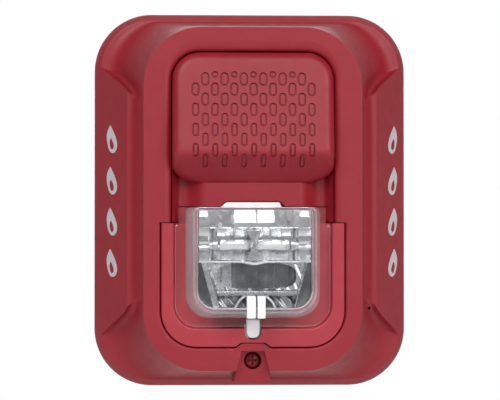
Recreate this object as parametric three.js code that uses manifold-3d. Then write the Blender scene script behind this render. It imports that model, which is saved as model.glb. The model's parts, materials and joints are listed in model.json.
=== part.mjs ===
// Wall-mounted fire alarm horn strobe: a red head with a piezo horn above a clear-lensed xenon strobe,
// hooked onto a wall plate that carries the field wiring terminals and held there by one captive screw.
//
// Units are millimetres. Every piece is modelled in the face frame: x to the viewer's right, y up, z out of
// the wall towards the viewer, with z = 0 on the wall. The exported group turns that frame so that +Z is up
// and the device faces -Y. Its origin is the middle of the wall plate's back face.

import * as THREE from "three";
import { mergeVertices } from "three/addons/utils/BufferGeometryUtils.js";
import Module from "manifold-3d";

const wasm = await Module();
wasm.setup();

// ---------------------------------------------------------------- driving dimensions

const CLEAR = 0.3; // gap between pieces that fit into each other
const SIDES = [-1, 1]; // left and right

const BODY = { width: 119.4, height: 142.6, corner: 22, back: 1.8, wall: 2.2, depth: 32 };
const SKIRT = { top: 5.5, inset: 1.2 }; // steep band round the wall side of the bezel
const PLATEAU = { halfWidth: 41.2, halfHeight: 64.6, edge: 0.25 }; // the front, rounded a little at its edge

// The flank between skirt and plateau: share of the way in, and depth from the wall.
const FLANK = [
  [0, SKIRT.top],
  [0.12, 9.6],
  [0.33, 15.6],
  [0.6, 23.6],
  [0.8, 27.3],
  [1, 30.2],
];
const PANEL = {
  innerX: 47.7,
  innerZ: 24.4,
  outerX: 59.5,
  outerZ: 2.2,
  straightY: 39.5,
  endY: 52,
  fold: 3,
  tip: 2,
};
const COLLAR = { wall: 1.6, corner: 12, back: 24 }; // steadies the horn cover behind the opening's edge
const BOSS = { radius: 3, bore: 1.3, front: 30.4, boreEnd: 26 }; // for the four case screws
const PINHOLE = { x: 45.6, y: -41.6, radius: 0.55 };

const HORN = {
  halfWidth: 30.3,
  top: 55,
  corner: 10.3,
  chin: 20.4,
  foot: 5.6,
  footCorner: 7.5,
  edge: 3.4,
  wall: 2,
};
const HORN_FACE = { top: 34.2, chin: 39.5 }; // the horn's face leans forward towards its chin
const HORN_BACK = 21.2; // the horn cover starts here, just in front of the circuit board
const HORN_FLANGE = { reach: 1.9, corner: 12, bottom: 14, thick: 2.2 };
const OPENING_DEPTH = 12; // how far back the opening in the bezel's front is cut
const NECK = { face: 29, flatHalf: 18.7, slopeHalf: 25, slopeDrop: 4, bottom: -3.2, wall: 2 };
const EAR = { inner: 28, bottom: -9.2 };
const SLOT = { width: 2.3, height: 4.7, pitchX: 7.3, pitchY: 3.83, rows: 8, top: 45.23 };

const SURROUND = { halfWidth: 34.4, bottom: -55.6, corner: 13.3, face: 32.3, back: 28.8 };
const SURROUND_HOLE = { halfWidth: 29.7, bottom: -48.6, corner: 8.8 };
const TAB = { halfWidth: 2.6, bottom: -52.4, corner: 2.4, gap: 0.5 }; // window tab below the lens
const TONGUE = { footHalf: 6.3, tipHalf: 4.1, top: -54.3 }; // bezel tongue above the cover screw

const LENS = { front: 49, wall: 1.6, edge: 1.4, top: -3.4, topCorner: 2.6 };
const LENS_BASE = { halfWidth: 25.5, bottom: -44.5, corner: 8.5 };
const LENS_FRONT = { halfWidth: 22.4, top: -4.4, bottom: -41.2, corner: 8 };
const LEDGE = { inner: 27.4, bottom: -40, depth: 2.2 }; // holds the lens flange from behind
const FLANGE = { halfWidth: 29.3, bottom: -48.2, corner: 8.5, back: 28.6, front: 30.4 };

const TUBE = { y: -17.4, z: 39.5, radius: 1.9, halfLength: 13, leadX: 15 };
const REFLECTOR = { halfWidth: 20, top: -7.6, waist: -24.4, bottom: -38.2, back: 31.2, mouth: 43.4 };
const REFLECTOR_LEGS = [
  [17, -12],
  [15.6, -33],
];
const PART_FLOOR = 20.9; // the front of the circuit board plus a gap, where its parts start

const COVER_SCREW = { y: -60.8, headRadius: 2.9, shank: 1.5, seat: 24, tip: 6, headTop: 26.8 };
const RECESS = { topHalf: 4.1, topY: -56.8, bottomHalf: 7.2, bottomY: -69, floor: 27.5, padBottom: -65 };
const COLUMN = { radius: 5.2, end: 13.2, bore: 2.1, pocket: 3.7, ledge: 20.8 };
const GROOVE = { back: 12.4, front: 13.4, depth: 0.35 }; // round the cover screw's shank
const CLIP = { radius: 3.2, back: 12.55, front: 13.25 };
const INSERT = { radius: 2.9, bore: 2.15, back: 6.2, front: 12.1 };

const PLATE = { halfWidth: 54.6, top: 63.6, bottom: -66, corner: 17, thick: 2.4, rim: 5.4, rimWall: 1.6 };
const WIRE_HOLE = { halfWidth: 24, top: -10, bottom: -36, corner: 4, wall: 1.6 };
const BOX_SLOT = { spacingX: 46, spacingY: 83.3, radius: 1.9, length: 8 };
const PIVOT = { y: 65.5, z: 4.2, radius: 1.3, x: 22, halfPin: 4.6, cheek: 2 };
const CATCH = {
  half: 2.6,
  thick: 1.3,
  start: -0.15 * Math.PI,
  end: 1.1 * Math.PI,
  armBack: -0.6,
  armFront: 2.4,
};

const BLOCK = { halfWidth: 25, bottom: 2, top: 17, back: 2.7, front: 11.2 };
const TERMINALS = [-18, -6, 6, 18]; // x of each terminal
const TERMINAL = { y: 6.6, floor: 5.4, blade: 13.6, screwHead: 3.1, screwShank: 1.5, headHeight: 2 };

const BACK_COVER = { back: 15, thick: 1.8, halfWidth: 47.6, halfHeight: 62, corner: 26 };
const BOARD = { back: 19, thick: 1.6, halfWidth: 37, top: 58, bottom: -54 };
const CHAMBER = { radius: 20.4, y: 31.6, front: 27.6, ledge: 24.4, ceramic: 12.5 };
const CASE_SCREWS = [
  [-32.2, 55.6],
  [32.2, 55.6],
  [-36.5, -50],
  [36.5, -50],
];
const SLIDER = { y: -49.8, halfStrip: 8.8, stripHeight: 5.2, front: 28.1, thick: 1.1, travel: 6, stem: 2.4 };
const NUB = { half: 2.6, back: 11, front: 13.6 }; // the slider's thumb nub behind the back cover
const TRANSFORMER = { x: -22, y: -22, half: 4.4, height: 6.6, leg: 2, yoke: 1.4 };
const CAPACITOR = { radius: 4.1, half: 12, y: -35, z: 25.3 };
const TRIGGER_COIL = { radius: 2.4, x0: 10, x1: 13.6, y: -24, z: 23.6 };
const INDUCTOR = { radius: 3.8, x: 23.4, y: -27, front: 27.2 };
const CONTROLLER = { x: -26, y: -6.6, side: 7, thick: 1.4 };
const DIAL = { x: 22, y: -22, radius: 3.6, back: 12.6, housingHalf: 5 };

// ---------------------------------------------------------------- shaping helpers

// A closed geometry as a manifold-3d solid.
function solid(geometry) {
  const bare = geometry.index ? geometry.toNonIndexed() : geometry.clone();
  bare.deleteAttribute("normal");
  bare.deleteAttribute("uv");
  const merged = mergeVertices(bare, 1e-4);
  const mesh = new wasm.Mesh({
    numProp: 3,
    vertProperties: merged.attributes.position.array,
    triVerts: new Uint32Array(merged.index.array),
  });
  return new wasm.Manifold(mesh);
}

// A manifold-3d solid as a flat-shaded geometry.
function geometryOf(manifold) {
  const mesh = manifold.getMesh();
  const geometry = new THREE.BufferGeometry();
  geometry.setAttribute("position", new THREE.BufferAttribute(mesh.vertProperties, 3));
  geometry.setIndex(new THREE.BufferAttribute(mesh.triVerts, 1));
  const flat = geometry.toNonIndexed();
  flat.computeVertexNormals();
  return flat;
}

const join = (first, ...rest) => rest.reduce((whole, piece) => whole.add(piece), first);
const cut = (first, ...rest) => rest.reduce((whole, piece) => whole.subtract(piece), first);

// A rounded rectangle from its edges, with its own radius for the top and the bottom corners.
function roundedShape(halfWidth, bottom, top, topCorner, bottomCorner = topCorner) {
  const shape = new THREE.Shape();
  shape.moveTo(halfWidth, bottom + bottomCorner);
  shape.lineTo(halfWidth, top - topCorner);
  if (topCorner) shape.absarc(halfWidth - topCorner, top - topCorner, topCorner, 0, Math.PI / 2);
  shape.lineTo(-halfWidth + topCorner, top);
  if (topCorner) shape.absarc(-halfWidth + topCorner, top - topCorner, topCorner, Math.PI / 2, Math.PI);
  shape.lineTo(-halfWidth, bottom + bottomCorner);
  if (bottomCorner) {
    shape.absarc(-halfWidth + bottomCorner, bottom + bottomCorner, bottomCorner, Math.PI, 1.5 * Math.PI);
    shape.lineTo(halfWidth - bottomCorner, bottom);
    shape.absarc(halfWidth - bottomCorner, bottom + bottomCorner, bottomCorner, 1.5 * Math.PI, 2 * Math.PI);
  } else {
    shape.lineTo(halfWidth, bottom);
  }
  return shape;
}

function polygon(points) {
  return new THREE.Shape(points.map(([x, y]) => new THREE.Vector2(x, y)));
}

// A flat outline given thickness from z0 to z1.
function slab(shape, z0, z1, curveSegments = 6) {
  const geometry = new THREE.ExtrudeGeometry(shape, { depth: z1 - z0, bevelEnabled: false, curveSegments });
  return solid(geometry.translate(0, 0, z0));
}

function box(x0, x1, y0, y1, z0, z1) {
  const geometry = new THREE.BoxGeometry(x1 - x0, y1 - y0, z1 - z0);
  return solid(geometry.translate((x0 + x1) / 2, (y0 + y1) / 2, (z0 + z1) / 2));
}

// A round bar standing out of the wall, at (x, y).
function post(radius, x, y, z0, z1, sides = 12) {
  const geometry = new THREE.CylinderGeometry(radius, radius, z1 - z0, sides);
  return solid(geometry.rotateX(Math.PI / 2).translate(x, y, (z0 + z1) / 2));
}

// A round bar lying along x.
function bar(radius, x0, x1, y, z, sides = 12) {
  const geometry = new THREE.CylinderGeometry(radius, radius, x1 - x0, sides);
  return solid(geometry.rotateZ(Math.PI / 2).translate((x0 + x1) / 2, y, z));
}

// An outline in (y, z) given thickness from x0 to x1.
function rib(points, x0, x1) {
  const geometry = new THREE.ExtrudeGeometry(polygon(points), { depth: x1 - x0, bevelEnabled: false });
  // The outline's (x, y) become (y, z), and its thickness runs along x.
  const turn = new THREE.Matrix4().makeBasis(
    new THREE.Vector3(0, 1, 0),
    new THREE.Vector3(0, 0, 1),
    new THREE.Vector3(1, 0, 0),
  );
  return solid(geometry.applyMatrix4(turn).translate(x0, 0, 0));
}

// The points of a rounded rectangle, anticlockwise, the same number whatever its size.
function ring({ halfWidth, bottom, top, topCorner, bottomCorner }, z, perCorner = 7) {
  const corners = [
    [halfWidth - topCorner, top - topCorner, topCorner, 0],
    [topCorner - halfWidth, top - topCorner, topCorner, 1],
    [bottomCorner - halfWidth, bottom + bottomCorner, bottomCorner, 2],
    [halfWidth - bottomCorner, bottom + bottomCorner, bottomCorner, 3],
  ];
  return corners.flatMap(([cx, cy, radius, quarter]) =>
    Array.from({ length: perCorner + 1 }, (_, i) => {
      const angle = ((quarter + i / perCorner) * Math.PI) / 2;
      return [cx + radius * Math.cos(angle), cy + radius * Math.sin(angle), z];
    }),
  );
}

// The solid between a stack of rings, lowest z first, closed by a flat fan at each end.
function loft(rings) {
  const n = rings[0].length;
  const middle = (points) => [0, points.reduce((sum, p) => sum + p[1], 0) / n, points[0][2]];
  const vertices = [...rings.flat(), middle(rings[0]), middle(rings.at(-1))];
  const floor = rings.length * n;
  const faces = [];
  for (let i = 0; i < n; i++) {
    const next = (i + 1) % n;
    faces.push(floor, next, i);
    faces.push(floor + 1, (rings.length - 1) * n + i, (rings.length - 1) * n + next);
    for (let k = 0; k + 1 < rings.length; k++) {
      const [low, high] = [k * n, (k + 1) * n];
      faces.push(low + i, low + next, high + next);
      faces.push(low + i, high + next, high + i);
    }
  }
  const geometry = new THREE.BufferGeometry();
  geometry.setAttribute("position", new THREE.Float32BufferAttribute(vertices.flat(), 3));
  geometry.setIndex(faces);
  return solid(geometry);
}

// ---------------------------------------------------------------- bezel

// The bezel's outline a share of the way from the skirt's top to the plateau, moved in by inset.
function flankRing(share, z, inset = 0) {
  const mix = (skirt, plateau) => skirt + (plateau - skirt) * share;
  const halfHeight = mix(BODY.height / 2 - SKIRT.inset, PLATEAU.halfHeight) - inset;
  return ring(
    {
      halfWidth: mix(BODY.width / 2 - SKIRT.inset, PLATEAU.halfWidth) - inset,
      bottom: -halfHeight,
      top: halfHeight,
      topCorner: BODY.corner - inset,
      bottomCorner: BODY.corner - inset,
    },
    z,
  );
}

// The outline of the hole in the bezel's front, which takes the horn cover and the strobe surround.
function bezelOpening(gap) {
  const shape = new THREE.Shape();
  const hornHalf = HORN.halfWidth + gap;
  const hornCorner = HORN.corner + gap;
  const half = SURROUND.halfWidth + gap;
  const corner = SURROUND.corner + gap;
  const bottom = SURROUND.bottom - gap;
  shape.moveTo(half, EAR.bottom + gap);
  shape.lineTo(hornHalf, EAR.bottom + gap);
  shape.lineTo(hornHalf, HORN.top + gap - hornCorner);
  shape.absarc(hornHalf - hornCorner, HORN.top + gap - hornCorner, hornCorner, 0, Math.PI / 2);
  shape.absarc(hornCorner - hornHalf, HORN.top + gap - hornCorner, hornCorner, Math.PI / 2, Math.PI);
  shape.lineTo(-hornHalf, EAR.bottom + gap);
  shape.lineTo(-half, EAR.bottom + gap);
  shape.absarc(corner - half, bottom + corner, corner, Math.PI, 1.5 * Math.PI);
  shape.lineTo(-TONGUE.footHalf, bottom);
  shape.lineTo(-TONGUE.tipHalf, TONGUE.top);
  shape.lineTo(TONGUE.tipHalf, TONGUE.top);
  shape.lineTo(TONGUE.footHalf, bottom);
  shape.absarc(half - corner, bottom + corner, corner, 1.5 * Math.PI, 2 * Math.PI);
  return shape;
}

// A raised side panel with slanting ends, on the side given by sign.
function sidePanel(sign) {
  const { innerX, innerZ, outerX, outerZ, straightY, endY, fold, tip } = PANEL;
  const outline = [
    [innerX - fold, -straightY + fold],
    [innerX, -straightY],
    [outerX - tip, -endY],
    [outerX, -endY],
    [outerX, endY],
    [outerX - tip, endY],
    [innerX, straightY],
    [innerX - fold, straightY - fold],
  ];
  const wedge = [
    [innerX - fold, BODY.back],
    [outerX, BODY.back],
    [outerX, outerZ],
    [innerX, innerZ],
    [innerX - fold, innerZ - fold],
  ];
  // The wedge's outline lies in (x, z) and its thickness runs along y.
  const lying = new THREE.ExtrudeGeometry(polygon(wedge), { depth: 2 * endY, bevelEnabled: false });
  const prism = solid(lying.rotateX(Math.PI / 2).translate(0, endY, 0));
  const panel = slab(polygon(outline), BODY.back, innerZ).intersect(prism);
  return sign > 0 ? panel : panel.mirror([1, 0, 0]);
}

// The outside of the bezel: a lofted body with the two side panels.
function bezelOutside() {
  const rings = [
    flankRing(0, BODY.back, -SKIRT.inset),
    ...FLANK.map(([share, z]) => flankRing(share, z)),
    flankRing(1, BODY.depth, PLATEAU.edge),
  ];
  return join(loft(rings), sidePanel(1), sidePanel(-1));
}

// The hollow behind the bezel's wall.
function bezelHollow() {
  const lean = 0.6; // the sloping flank's wall, measured along z, is thicker than the wall itself
  const rings = [
    flankRing(0, BODY.back - 1, BODY.wall - SKIRT.inset),
    flankRing(0, SKIRT.top, BODY.wall),
    ...FLANK.slice(1).map(([share, z]) => flankRing(share, z - lean, BODY.wall)),
    flankRing(1, BODY.depth - BODY.wall - 0.2, BODY.wall + lean),
  ];
  return loft(rings);
}

function collar() {
  const { wall, corner, back } = COLLAR;
  const half = HORN.halfWidth + CLEAR;
  const top = HORN.top + CLEAR;
  return cut(
    slab(roundedShape(half + wall, EAR.bottom + 2, top + wall, corner, 0), back, BODY.depth - 2),
    slab(roundedShape(half, EAR.bottom, top, HORN.corner + CLEAR, 0), back - 1, BODY.depth),
  );
}

// The thickened floor of the notch below the plateau, where the cover screw sits.
function recessPad() {
  const { topHalf, topY, bottomHalf, floor, padBottom } = RECESS;
  const outline = polygon([
    [-topHalf - 1.2, topY + 1.5],
    [-bottomHalf - 2, padBottom],
    [bottomHalf + 2, padBottom],
    [topHalf + 1.2, topY + 1.5],
  ]);
  return slab(outline, floor - 3, BODY.depth - 0.5);
}

function recessCut() {
  const { topHalf, topY, bottomHalf, bottomY, floor } = RECESS;
  const outline = polygon([
    [-topHalf, topY],
    [-bottomHalf, bottomY],
    [bottomHalf, bottomY],
    [topHalf, topY],
  ]);
  return slab(outline, floor, BODY.depth + 1);
}

function bezel() {
  const shell = cut(
    bezelOutside(),
    bezelHollow(),
    slab(bezelOpening(CLEAR), BODY.depth - OPENING_DEPTH, BODY.depth + 1),
  );
  const bossBack = BACK_COVER.back + BACK_COVER.thick + CLEAR;
  const bosses = CASE_SCREWS.map(([x, y]) => post(BOSS.radius, x, y, bossBack, BOSS.front, 10));
  const bores = CASE_SCREWS.map(([x, y]) => post(BOSS.bore, x, y, bossBack - 3, BOSS.boreEnd, 8));
  const column = post(COLUMN.radius, 0, COVER_SCREW.y, COLUMN.end, RECESS.floor + 1, 14);
  const screwHoles = [
    post(COVER_SCREW.headRadius + 0.4, 0, COVER_SCREW.y, COVER_SCREW.seat, BODY.depth, 16),
    post(COLUMN.bore, 0, COVER_SCREW.y, COLUMN.end - 1, BODY.depth, 12),
    post(COLUMN.pocket, 0, COVER_SCREW.y, COLUMN.end - 1, COLUMN.ledge, 14),
  ];
  const pinhole = post(PINHOLE.radius, PINHOLE.x, PINHOLE.y, 20, BODY.depth, 8);
  const filled = join(shell, collar(), ...bosses, column, recessPad());
  const bored = cut(filled, recessCut(), ...screwHoles, ...bores, pinhole);
  return join(bored, ...SIDES.map((side) => hookCatch(side * PIVOT.x)));
}

// A C-shaped catch that hangs the head on one of the wall plate's pins. It opens downwards.
function hookCatch(x) {
  const { y, z, radius } = PIVOT;
  const inner = radius + CLEAR;
  const outer = inner + CATCH.thick;
  const arc = (r, from, to, steps) =>
    Array.from({ length: steps + 1 }, (_, i) => {
      const angle = from + ((to - from) * i) / steps;
      return [y + r * Math.sin(angle), z + r * Math.cos(angle)];
    });
  const { half, start, end, armBack, armFront } = CATCH;
  const hook = rib([...arc(outer, start, end, 10), ...arc(inner, end, start, 10)], x - half, x + half);
  const arm = box(x - half, x + half, y + inner + 0.4, BODY.height / 2 - 1.6, z + armBack, z + armFront);
  return join(hook, arm);
}

// ---------------------------------------------------------------- horn cover, surround and lens

// Centres of the grille slots: rows of seven and of six, each row set half a pitch across from the last.
function slotCentres() {
  const centres = [];
  for (let row = 0; row < SLOT.rows; row++) {
    const count = row % 2 ? 7 : 6;
    for (let i = 0; i < count; i++) {
      centres.push([(i - (count - 1) / 2) * SLOT.pitchX, SLOT.top - row * SLOT.pitchY]);
    }
  }
  return centres;
}

function slotShape(x, y, width = SLOT.width, height = SLOT.height) {
  const [r, half] = [width / 2, height / 2];
  const ends = [0, 1].flatMap((end) =>
    [0, 1, 2, 3].map((i) => {
      const angle = Math.PI * (end + i / 3);
      return [x + r * Math.cos(angle), y + (end ? r - half : half - r) + r * Math.sin(angle)];
    }),
  );
  return polygon(ends);
}

// How far the horn's face stands out at height y.
function faceHeight(y) {
  const share = (y - HORN.chin) / (HORN.top - HORN.chin);
  return HORN_FACE.chin + (HORN_FACE.top - HORN_FACE.chin) * share;
}

// Moves a ring at a share of the horn's depth to its place behind the leaning face.
function lean(points, drop) {
  return points.map(([x, y, share]) => [x, y, HORN_BACK + (faceHeight(y) - drop - HORN_BACK) * share]);
}

function hornCover() {
  const outline = (inset) => ({
    halfWidth: HORN.halfWidth - inset,
    bottom: HORN.foot + 0.4 + inset * 0.2,
    top: HORN.top - inset,
    topCorner: HORN.corner - inset * 0.6,
    bottomCorner: HORN.footCorner,
  });
  const depth = HORN_FACE.top - HORN_BACK;
  const levels = (inset, drop) => [
    lean(ring(outline(inset), drop ? -0.1 : 0), drop),
    lean(ring(outline(inset), 1 - HORN.edge / depth), drop),
    lean(ring(outline(inset + 0.9), 1 - 1.2 / depth), drop),
    lean(ring(outline(inset + HORN.edge), 1), drop),
  ];
  // Below the chin the face falls back to the neck.
  const chinCut = (drop) =>
    rib(
      [
        [HORN.chin, HORN_FACE.chin - drop],
        [HORN.foot, NECK.face - drop],
        [HORN.foot - 6, NECK.face - drop],
        [HORN.foot - 6, HORN_FACE.chin + 6],
        [HORN.chin, HORN_FACE.chin + 6],
      ],
      -40,
      40,
    );
  const outside = cut(loft(levels(0, 0)), chinCut(0));
  const inside = cut(loft(levels(HORN.wall, HORN.wall)), chinCut(HORN.wall));
  const slots = slotCentres().map(([x, y]) => slab(slotShape(x, y), NECK.face - 2, HORN_FACE.chin + 2));
  return join(cut(join(outside, hornFlange()), inside, ...slots), neck());
}

// The flange behind the bezel's collar, which keeps the horn cover from coming out forwards.
function hornFlange() {
  const { reach, corner, bottom, thick } = HORN_FLANGE;
  const outline = roundedShape(HORN.halfWidth + reach, bottom, HORN.top + reach, corner, 0);
  return slab(outline, HORN_BACK, HORN_BACK + thick);
}

// The bridge between the horn's chin and the lens, with an ear down each side of the lens.
function neck() {
  const { face, flatHalf, slopeHalf, slopeDrop, wall } = NECK;
  const side = HORN.halfWidth;
  const right = [
    [flatHalf, face],
    [slopeHalf, face - slopeDrop],
    [side, face - slopeDrop - 1],
    [side, HORN_BACK],
    [side - wall, HORN_BACK],
    [side - wall, face - slopeDrop - 1 - wall],
    [slopeHalf - 0.6, face - slopeDrop - wall],
    [flatHalf - 0.8, face - wall],
  ];
  const left = right.map(([x, z]) => [-x, z]).reverse();
  const length = HORN.foot + 1.4 - NECK.bottom;
  const lying = new THREE.ExtrudeGeometry(polygon([...right, ...left]), { depth: length, bevelEnabled: false });
  const bridge = solid(lying.rotateX(Math.PI / 2).translate(0, NECK.bottom + length, 0));
  const ears = SIDES.map((sign) => {
    const [x0, x1] = [sign * EAR.inner, sign * side].sort((a, b) => a - b);
    return box(x0, x1, EAR.bottom + CLEAR, NECK.bottom + 2, HORN_BACK, BODY.depth - 0.4);
  });
  return join(bridge, ...ears);
}

function strobeSurround() {
  const { halfWidth, bottom, corner, face, back } = SURROUND;
  const hole = SURROUND_HOLE;
  const frame = cut(
    slab(roundedShape(halfWidth, bottom, EAR.bottom, 0, corner), back, face),
    slab(roundedShape(hole.halfWidth, hole.bottom, EAR.bottom + 1, 0, hole.corner), back - 1, face + 1),
  );
  const tabNotch = box(
    -TAB.halfWidth - TAB.gap,
    TAB.halfWidth + TAB.gap,
    TAB.bottom - TAB.gap,
    hole.bottom + 1,
    back - 1,
    face + 1,
  );
  const tongueNotch = slab(
    polygon([
      [-TONGUE.footHalf - 1.8, bottom - 1],
      [-TONGUE.tipHalf - 0.5, TONGUE.top + 0.4],
      [TONGUE.tipHalf + 0.5, TONGUE.top + 0.4],
      [TONGUE.footHalf + 1.8, bottom - 1],
    ]),
    back - 1,
    face + 1,
  );
  return join(cut(frame, tabNotch, tongueNotch), ...SIDES.map((sign) => lensLedge(sign)));
}

// The ledge behind the lens flange on one side, which holds the lens in the surround.
function lensLedge(sign) {
  const { halfWidth, back } = SURROUND;
  const top = EAR.bottom - 0.6;
  const shelf = box(LEDGE.inner, halfWidth, LEDGE.bottom, top, FLANGE.back - LEDGE.depth, FLANGE.back - CLEAR);
  const root = box(SURROUND_HOLE.halfWidth + 0.2, halfWidth, LEDGE.bottom, top, FLANGE.back - 1, back + 0.5);
  const ledge = join(shelf, root);
  return sign > 0 ? ledge : ledge.mirror([1, 0, 0]);
}

// The lens's outline a share of the way from its base to its front, moved in by inset.
function lensRing(inset, share, z) {
  const mix = (base, front) => base + (front - base) * share;
  return ring(
    {
      halfWidth: mix(LENS_BASE.halfWidth, LENS_FRONT.halfWidth) - inset,
      bottom: mix(LENS_BASE.bottom, LENS_FRONT.bottom) + inset,
      top: mix(LENS.top, LENS_FRONT.top) - inset,
      topCorner: LENS.topCorner,
      bottomCorner: mix(LENS_BASE.corner, LENS_FRONT.corner) - inset * 0.8,
    },
    z,
  );
}

function strobeLens() {
  const { front, wall, edge } = LENS;
  const [footShare, footZ, frontShare] = [0.1, FLANGE.front + 2, 0.85];
  const outside = loft([
    lensRing(0, 0, FLANGE.back),
    lensRing(0, footShare, footZ),
    lensRing(0, frontShare, front - edge),
    lensRing(edge, 1, front),
  ]);
  const inside = loft([
    lensRing(wall, 0, FLANGE.back - 1),
    lensRing(wall, footShare, footZ),
    lensRing(wall, frontShare, front - wall - 0.6),
    lensRing(wall + 1, 0.95, front - wall),
  ]);
  const flange = slab(
    roundedShape(FLANGE.halfWidth, FLANGE.bottom, EAR.bottom - CLEAR, 0, FLANGE.corner),
    FLANGE.back,
    FLANGE.front,
  );
  // Between the ears of the horn cover the flange goes on up to the neck.
  const upperHalf = EAR.inner - 0.4;
  const upperFlange = box(-upperHalf, upperHalf, EAR.bottom - 2, LENS.top, FLANGE.back, FLANGE.front);
  const tab = slab(
    roundedShape(TAB.halfWidth, TAB.bottom, LENS_BASE.bottom + 1, 0, TAB.corner),
    FLANGE.front - 0.6,
    SURROUND.face - 0.3,
  );
  return cut(join(outside, flange, upperFlange, tab), inside);
}

// ---------------------------------------------------------------- strobe

// A double trough round the flash tube: a deep upper bowl and a shallower lower one.
function reflector() {
  const { halfWidth, top, waist, bottom, back, mouth } = REFLECTOR;
  const block = slab(roundedShape(halfWidth, bottom, top, 2, 6), back, mouth);
  const bowl = (y0, y1, depth, half) => {
    const curve = Array.from({ length: 9 }, (_, i) => {
      const u = i / 4 - 1;
      return [(y0 + y1) / 2 + (u * (y1 - y0)) / 2, mouth - depth * (1 - u * u)];
    });
    return rib([...curve, [y1, mouth + 1], [y0, mouth + 1]], -half, half);
  };
  const upper = bowl(waist + 0.6, top - 1, mouth - back - 1.2, halfWidth - 1.2);
  const lower = bowl(bottom + 1.4, waist - 0.6, mouth - back - 4, halfWidth - 3.2);
  const legs = SIDES.flatMap((sign) =>
    REFLECTOR_LEGS.map(([x, y]) => post(1.4, sign * x, y, PART_FLOOR, back + 1, 8)),
  );
  const leadHoles = SIDES.map((sign) => post(1.2, sign * TUBE.leadX, TUBE.y, back - 1, mouth - 4, 10));
  return cut(join(block, ...legs), upper, lower, ...leadHoles);
}

function flashTube() {
  return bar(TUBE.radius, -TUBE.halfLength, TUBE.halfLength, TUBE.y, TUBE.z, 14);
}

// The metal cap at one end of the tube, with the lead that runs down to the circuit board.
function tubeElectrode(sign) {
  const [a, b] = [sign * (TUBE.halfLength + CLEAR), sign * (TUBE.halfLength + 3.6)].sort((p, q) => p - q);
  const cap = bar(TUBE.radius + 0.2, a, b, TUBE.y, TUBE.z, 12);
  const x = sign * TUBE.leadX;
  return join(cap, box(x - 0.5, x + 0.5, TUBE.y - 0.5, TUBE.y + 0.5, PART_FLOOR, TUBE.z));
}

// The trigger band: a wire loop clipped round the middle of the tube.
function triggerBand() {
  const outline = new THREE.Shape();
  outline.absarc(0, 0, TUBE.radius + 0.75, 0, 2 * Math.PI);
  const hole = new THREE.Path();
  hole.absarc(0, 0, TUBE.radius + 0.25, 0, 2 * Math.PI);
  outline.holes.push(hole);
  const loop = new THREE.ExtrudeGeometry(outline, { depth: 0.9, bevelEnabled: false, curveSegments: 8 });
  return solid(loop.rotateY(Math.PI / 2).translate(-0.45, TUBE.y, TUBE.z));
}

// ---------------------------------------------------------------- horn and electronics

// The cup behind the piezo disc, open towards the grille, with a small port in its floor.
function soundChamber() {
  const floor = PART_FLOOR;
  return cut(
    post(CHAMBER.radius, 0, CHAMBER.y, floor, CHAMBER.front, 28),
    post(CHAMBER.radius - 1.4, 0, CHAMBER.y, CHAMBER.ledge, CHAMBER.front + 1, 28),
    post(CHAMBER.radius - 3, 0, CHAMBER.y, floor + 1.4, CHAMBER.front, 28),
    post(3, 0, CHAMBER.y, floor - 1, CHAMBER.front, 10),
  );
}

function piezoDisc() {
  return post(CHAMBER.radius - 1.7, 0, CHAMBER.y, CHAMBER.ledge + CLEAR, CHAMBER.ledge + 0.8, 28);
}

function piezoCeramic() {
  return post(CHAMBER.ceramic, 0, CHAMBER.y, CHAMBER.ledge + 1.1, CHAMBER.ledge + 1.4, 20);
}

// The plate behind the grille slots that keeps rain and fingers off the piezo disc.
function grilleBaffle() {
  const { halfWidth, chin, top, wall } = HORN;
  const front = HORN_FACE.top - wall - 0.8;
  return slab(roundedShape(halfWidth - 3.8, chin + 1.6, top - 4, 6), front - 1.2, front);
}

function circuitBoard() {
  const { back, thick, halfWidth, top, bottom } = BOARD;
  const sheet = slab(roundedShape(halfWidth, bottom, top, 3), back, back + thick);
  const clearances = CASE_SCREWS.map(([x, y]) => post(3.6, x, y, back - 1, back + thick + 1, 10));
  const sliderSlot = box(-SLIDER.travel - 2, SLIDER.travel + 2, SLIDER.y - 2, SLIDER.y + 2, back - 1, back + 3);
  return cut(sheet, ...clearances, sliderSlot);
}

function flashCapacitor() {
  const { radius, half, y, z } = CAPACITOR;
  return bar(radius, -half, half, y, z, 18);
}

function transformerCore() {
  const { x, y, half, height, leg, yoke } = TRANSFORMER;
  const z = PART_FLOOR;
  const block = box(x - half, x + half, y - half, y + half, z, z + height);
  const window = box(x - half - 1, x + half + 1, y - half + leg, y + half - leg, z + yoke, z + height - yoke);
  return cut(block, window);
}

// The winding fills the core's window and stands out at both ends.
function transformerCoil() {
  const { x, y, half, height, leg, yoke } = TRANSFORMER;
  const across = half - leg - 0.4;
  const up = yoke + 0.4;
  const z = PART_FLOOR;
  return box(x - half - 1.4, x + half + 1.4, y - across, y + across, z + up, z + height - up);
}

function triggerCoil() {
  const { radius, x0, x1, y, z } = TRIGGER_COIL;
  return bar(radius, x0, x1, y, z, 14);
}

function inductor() {
  const { radius, x, y, front } = INDUCTOR;
  return post(radius, x, y, PART_FLOOR, front, 16);
}

function microcontroller() {
  const { x, y, side, thick } = CONTROLLER;
  return box(x, x + side, y, y + side, PART_FLOOR, PART_FLOOR + thick);
}

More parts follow.
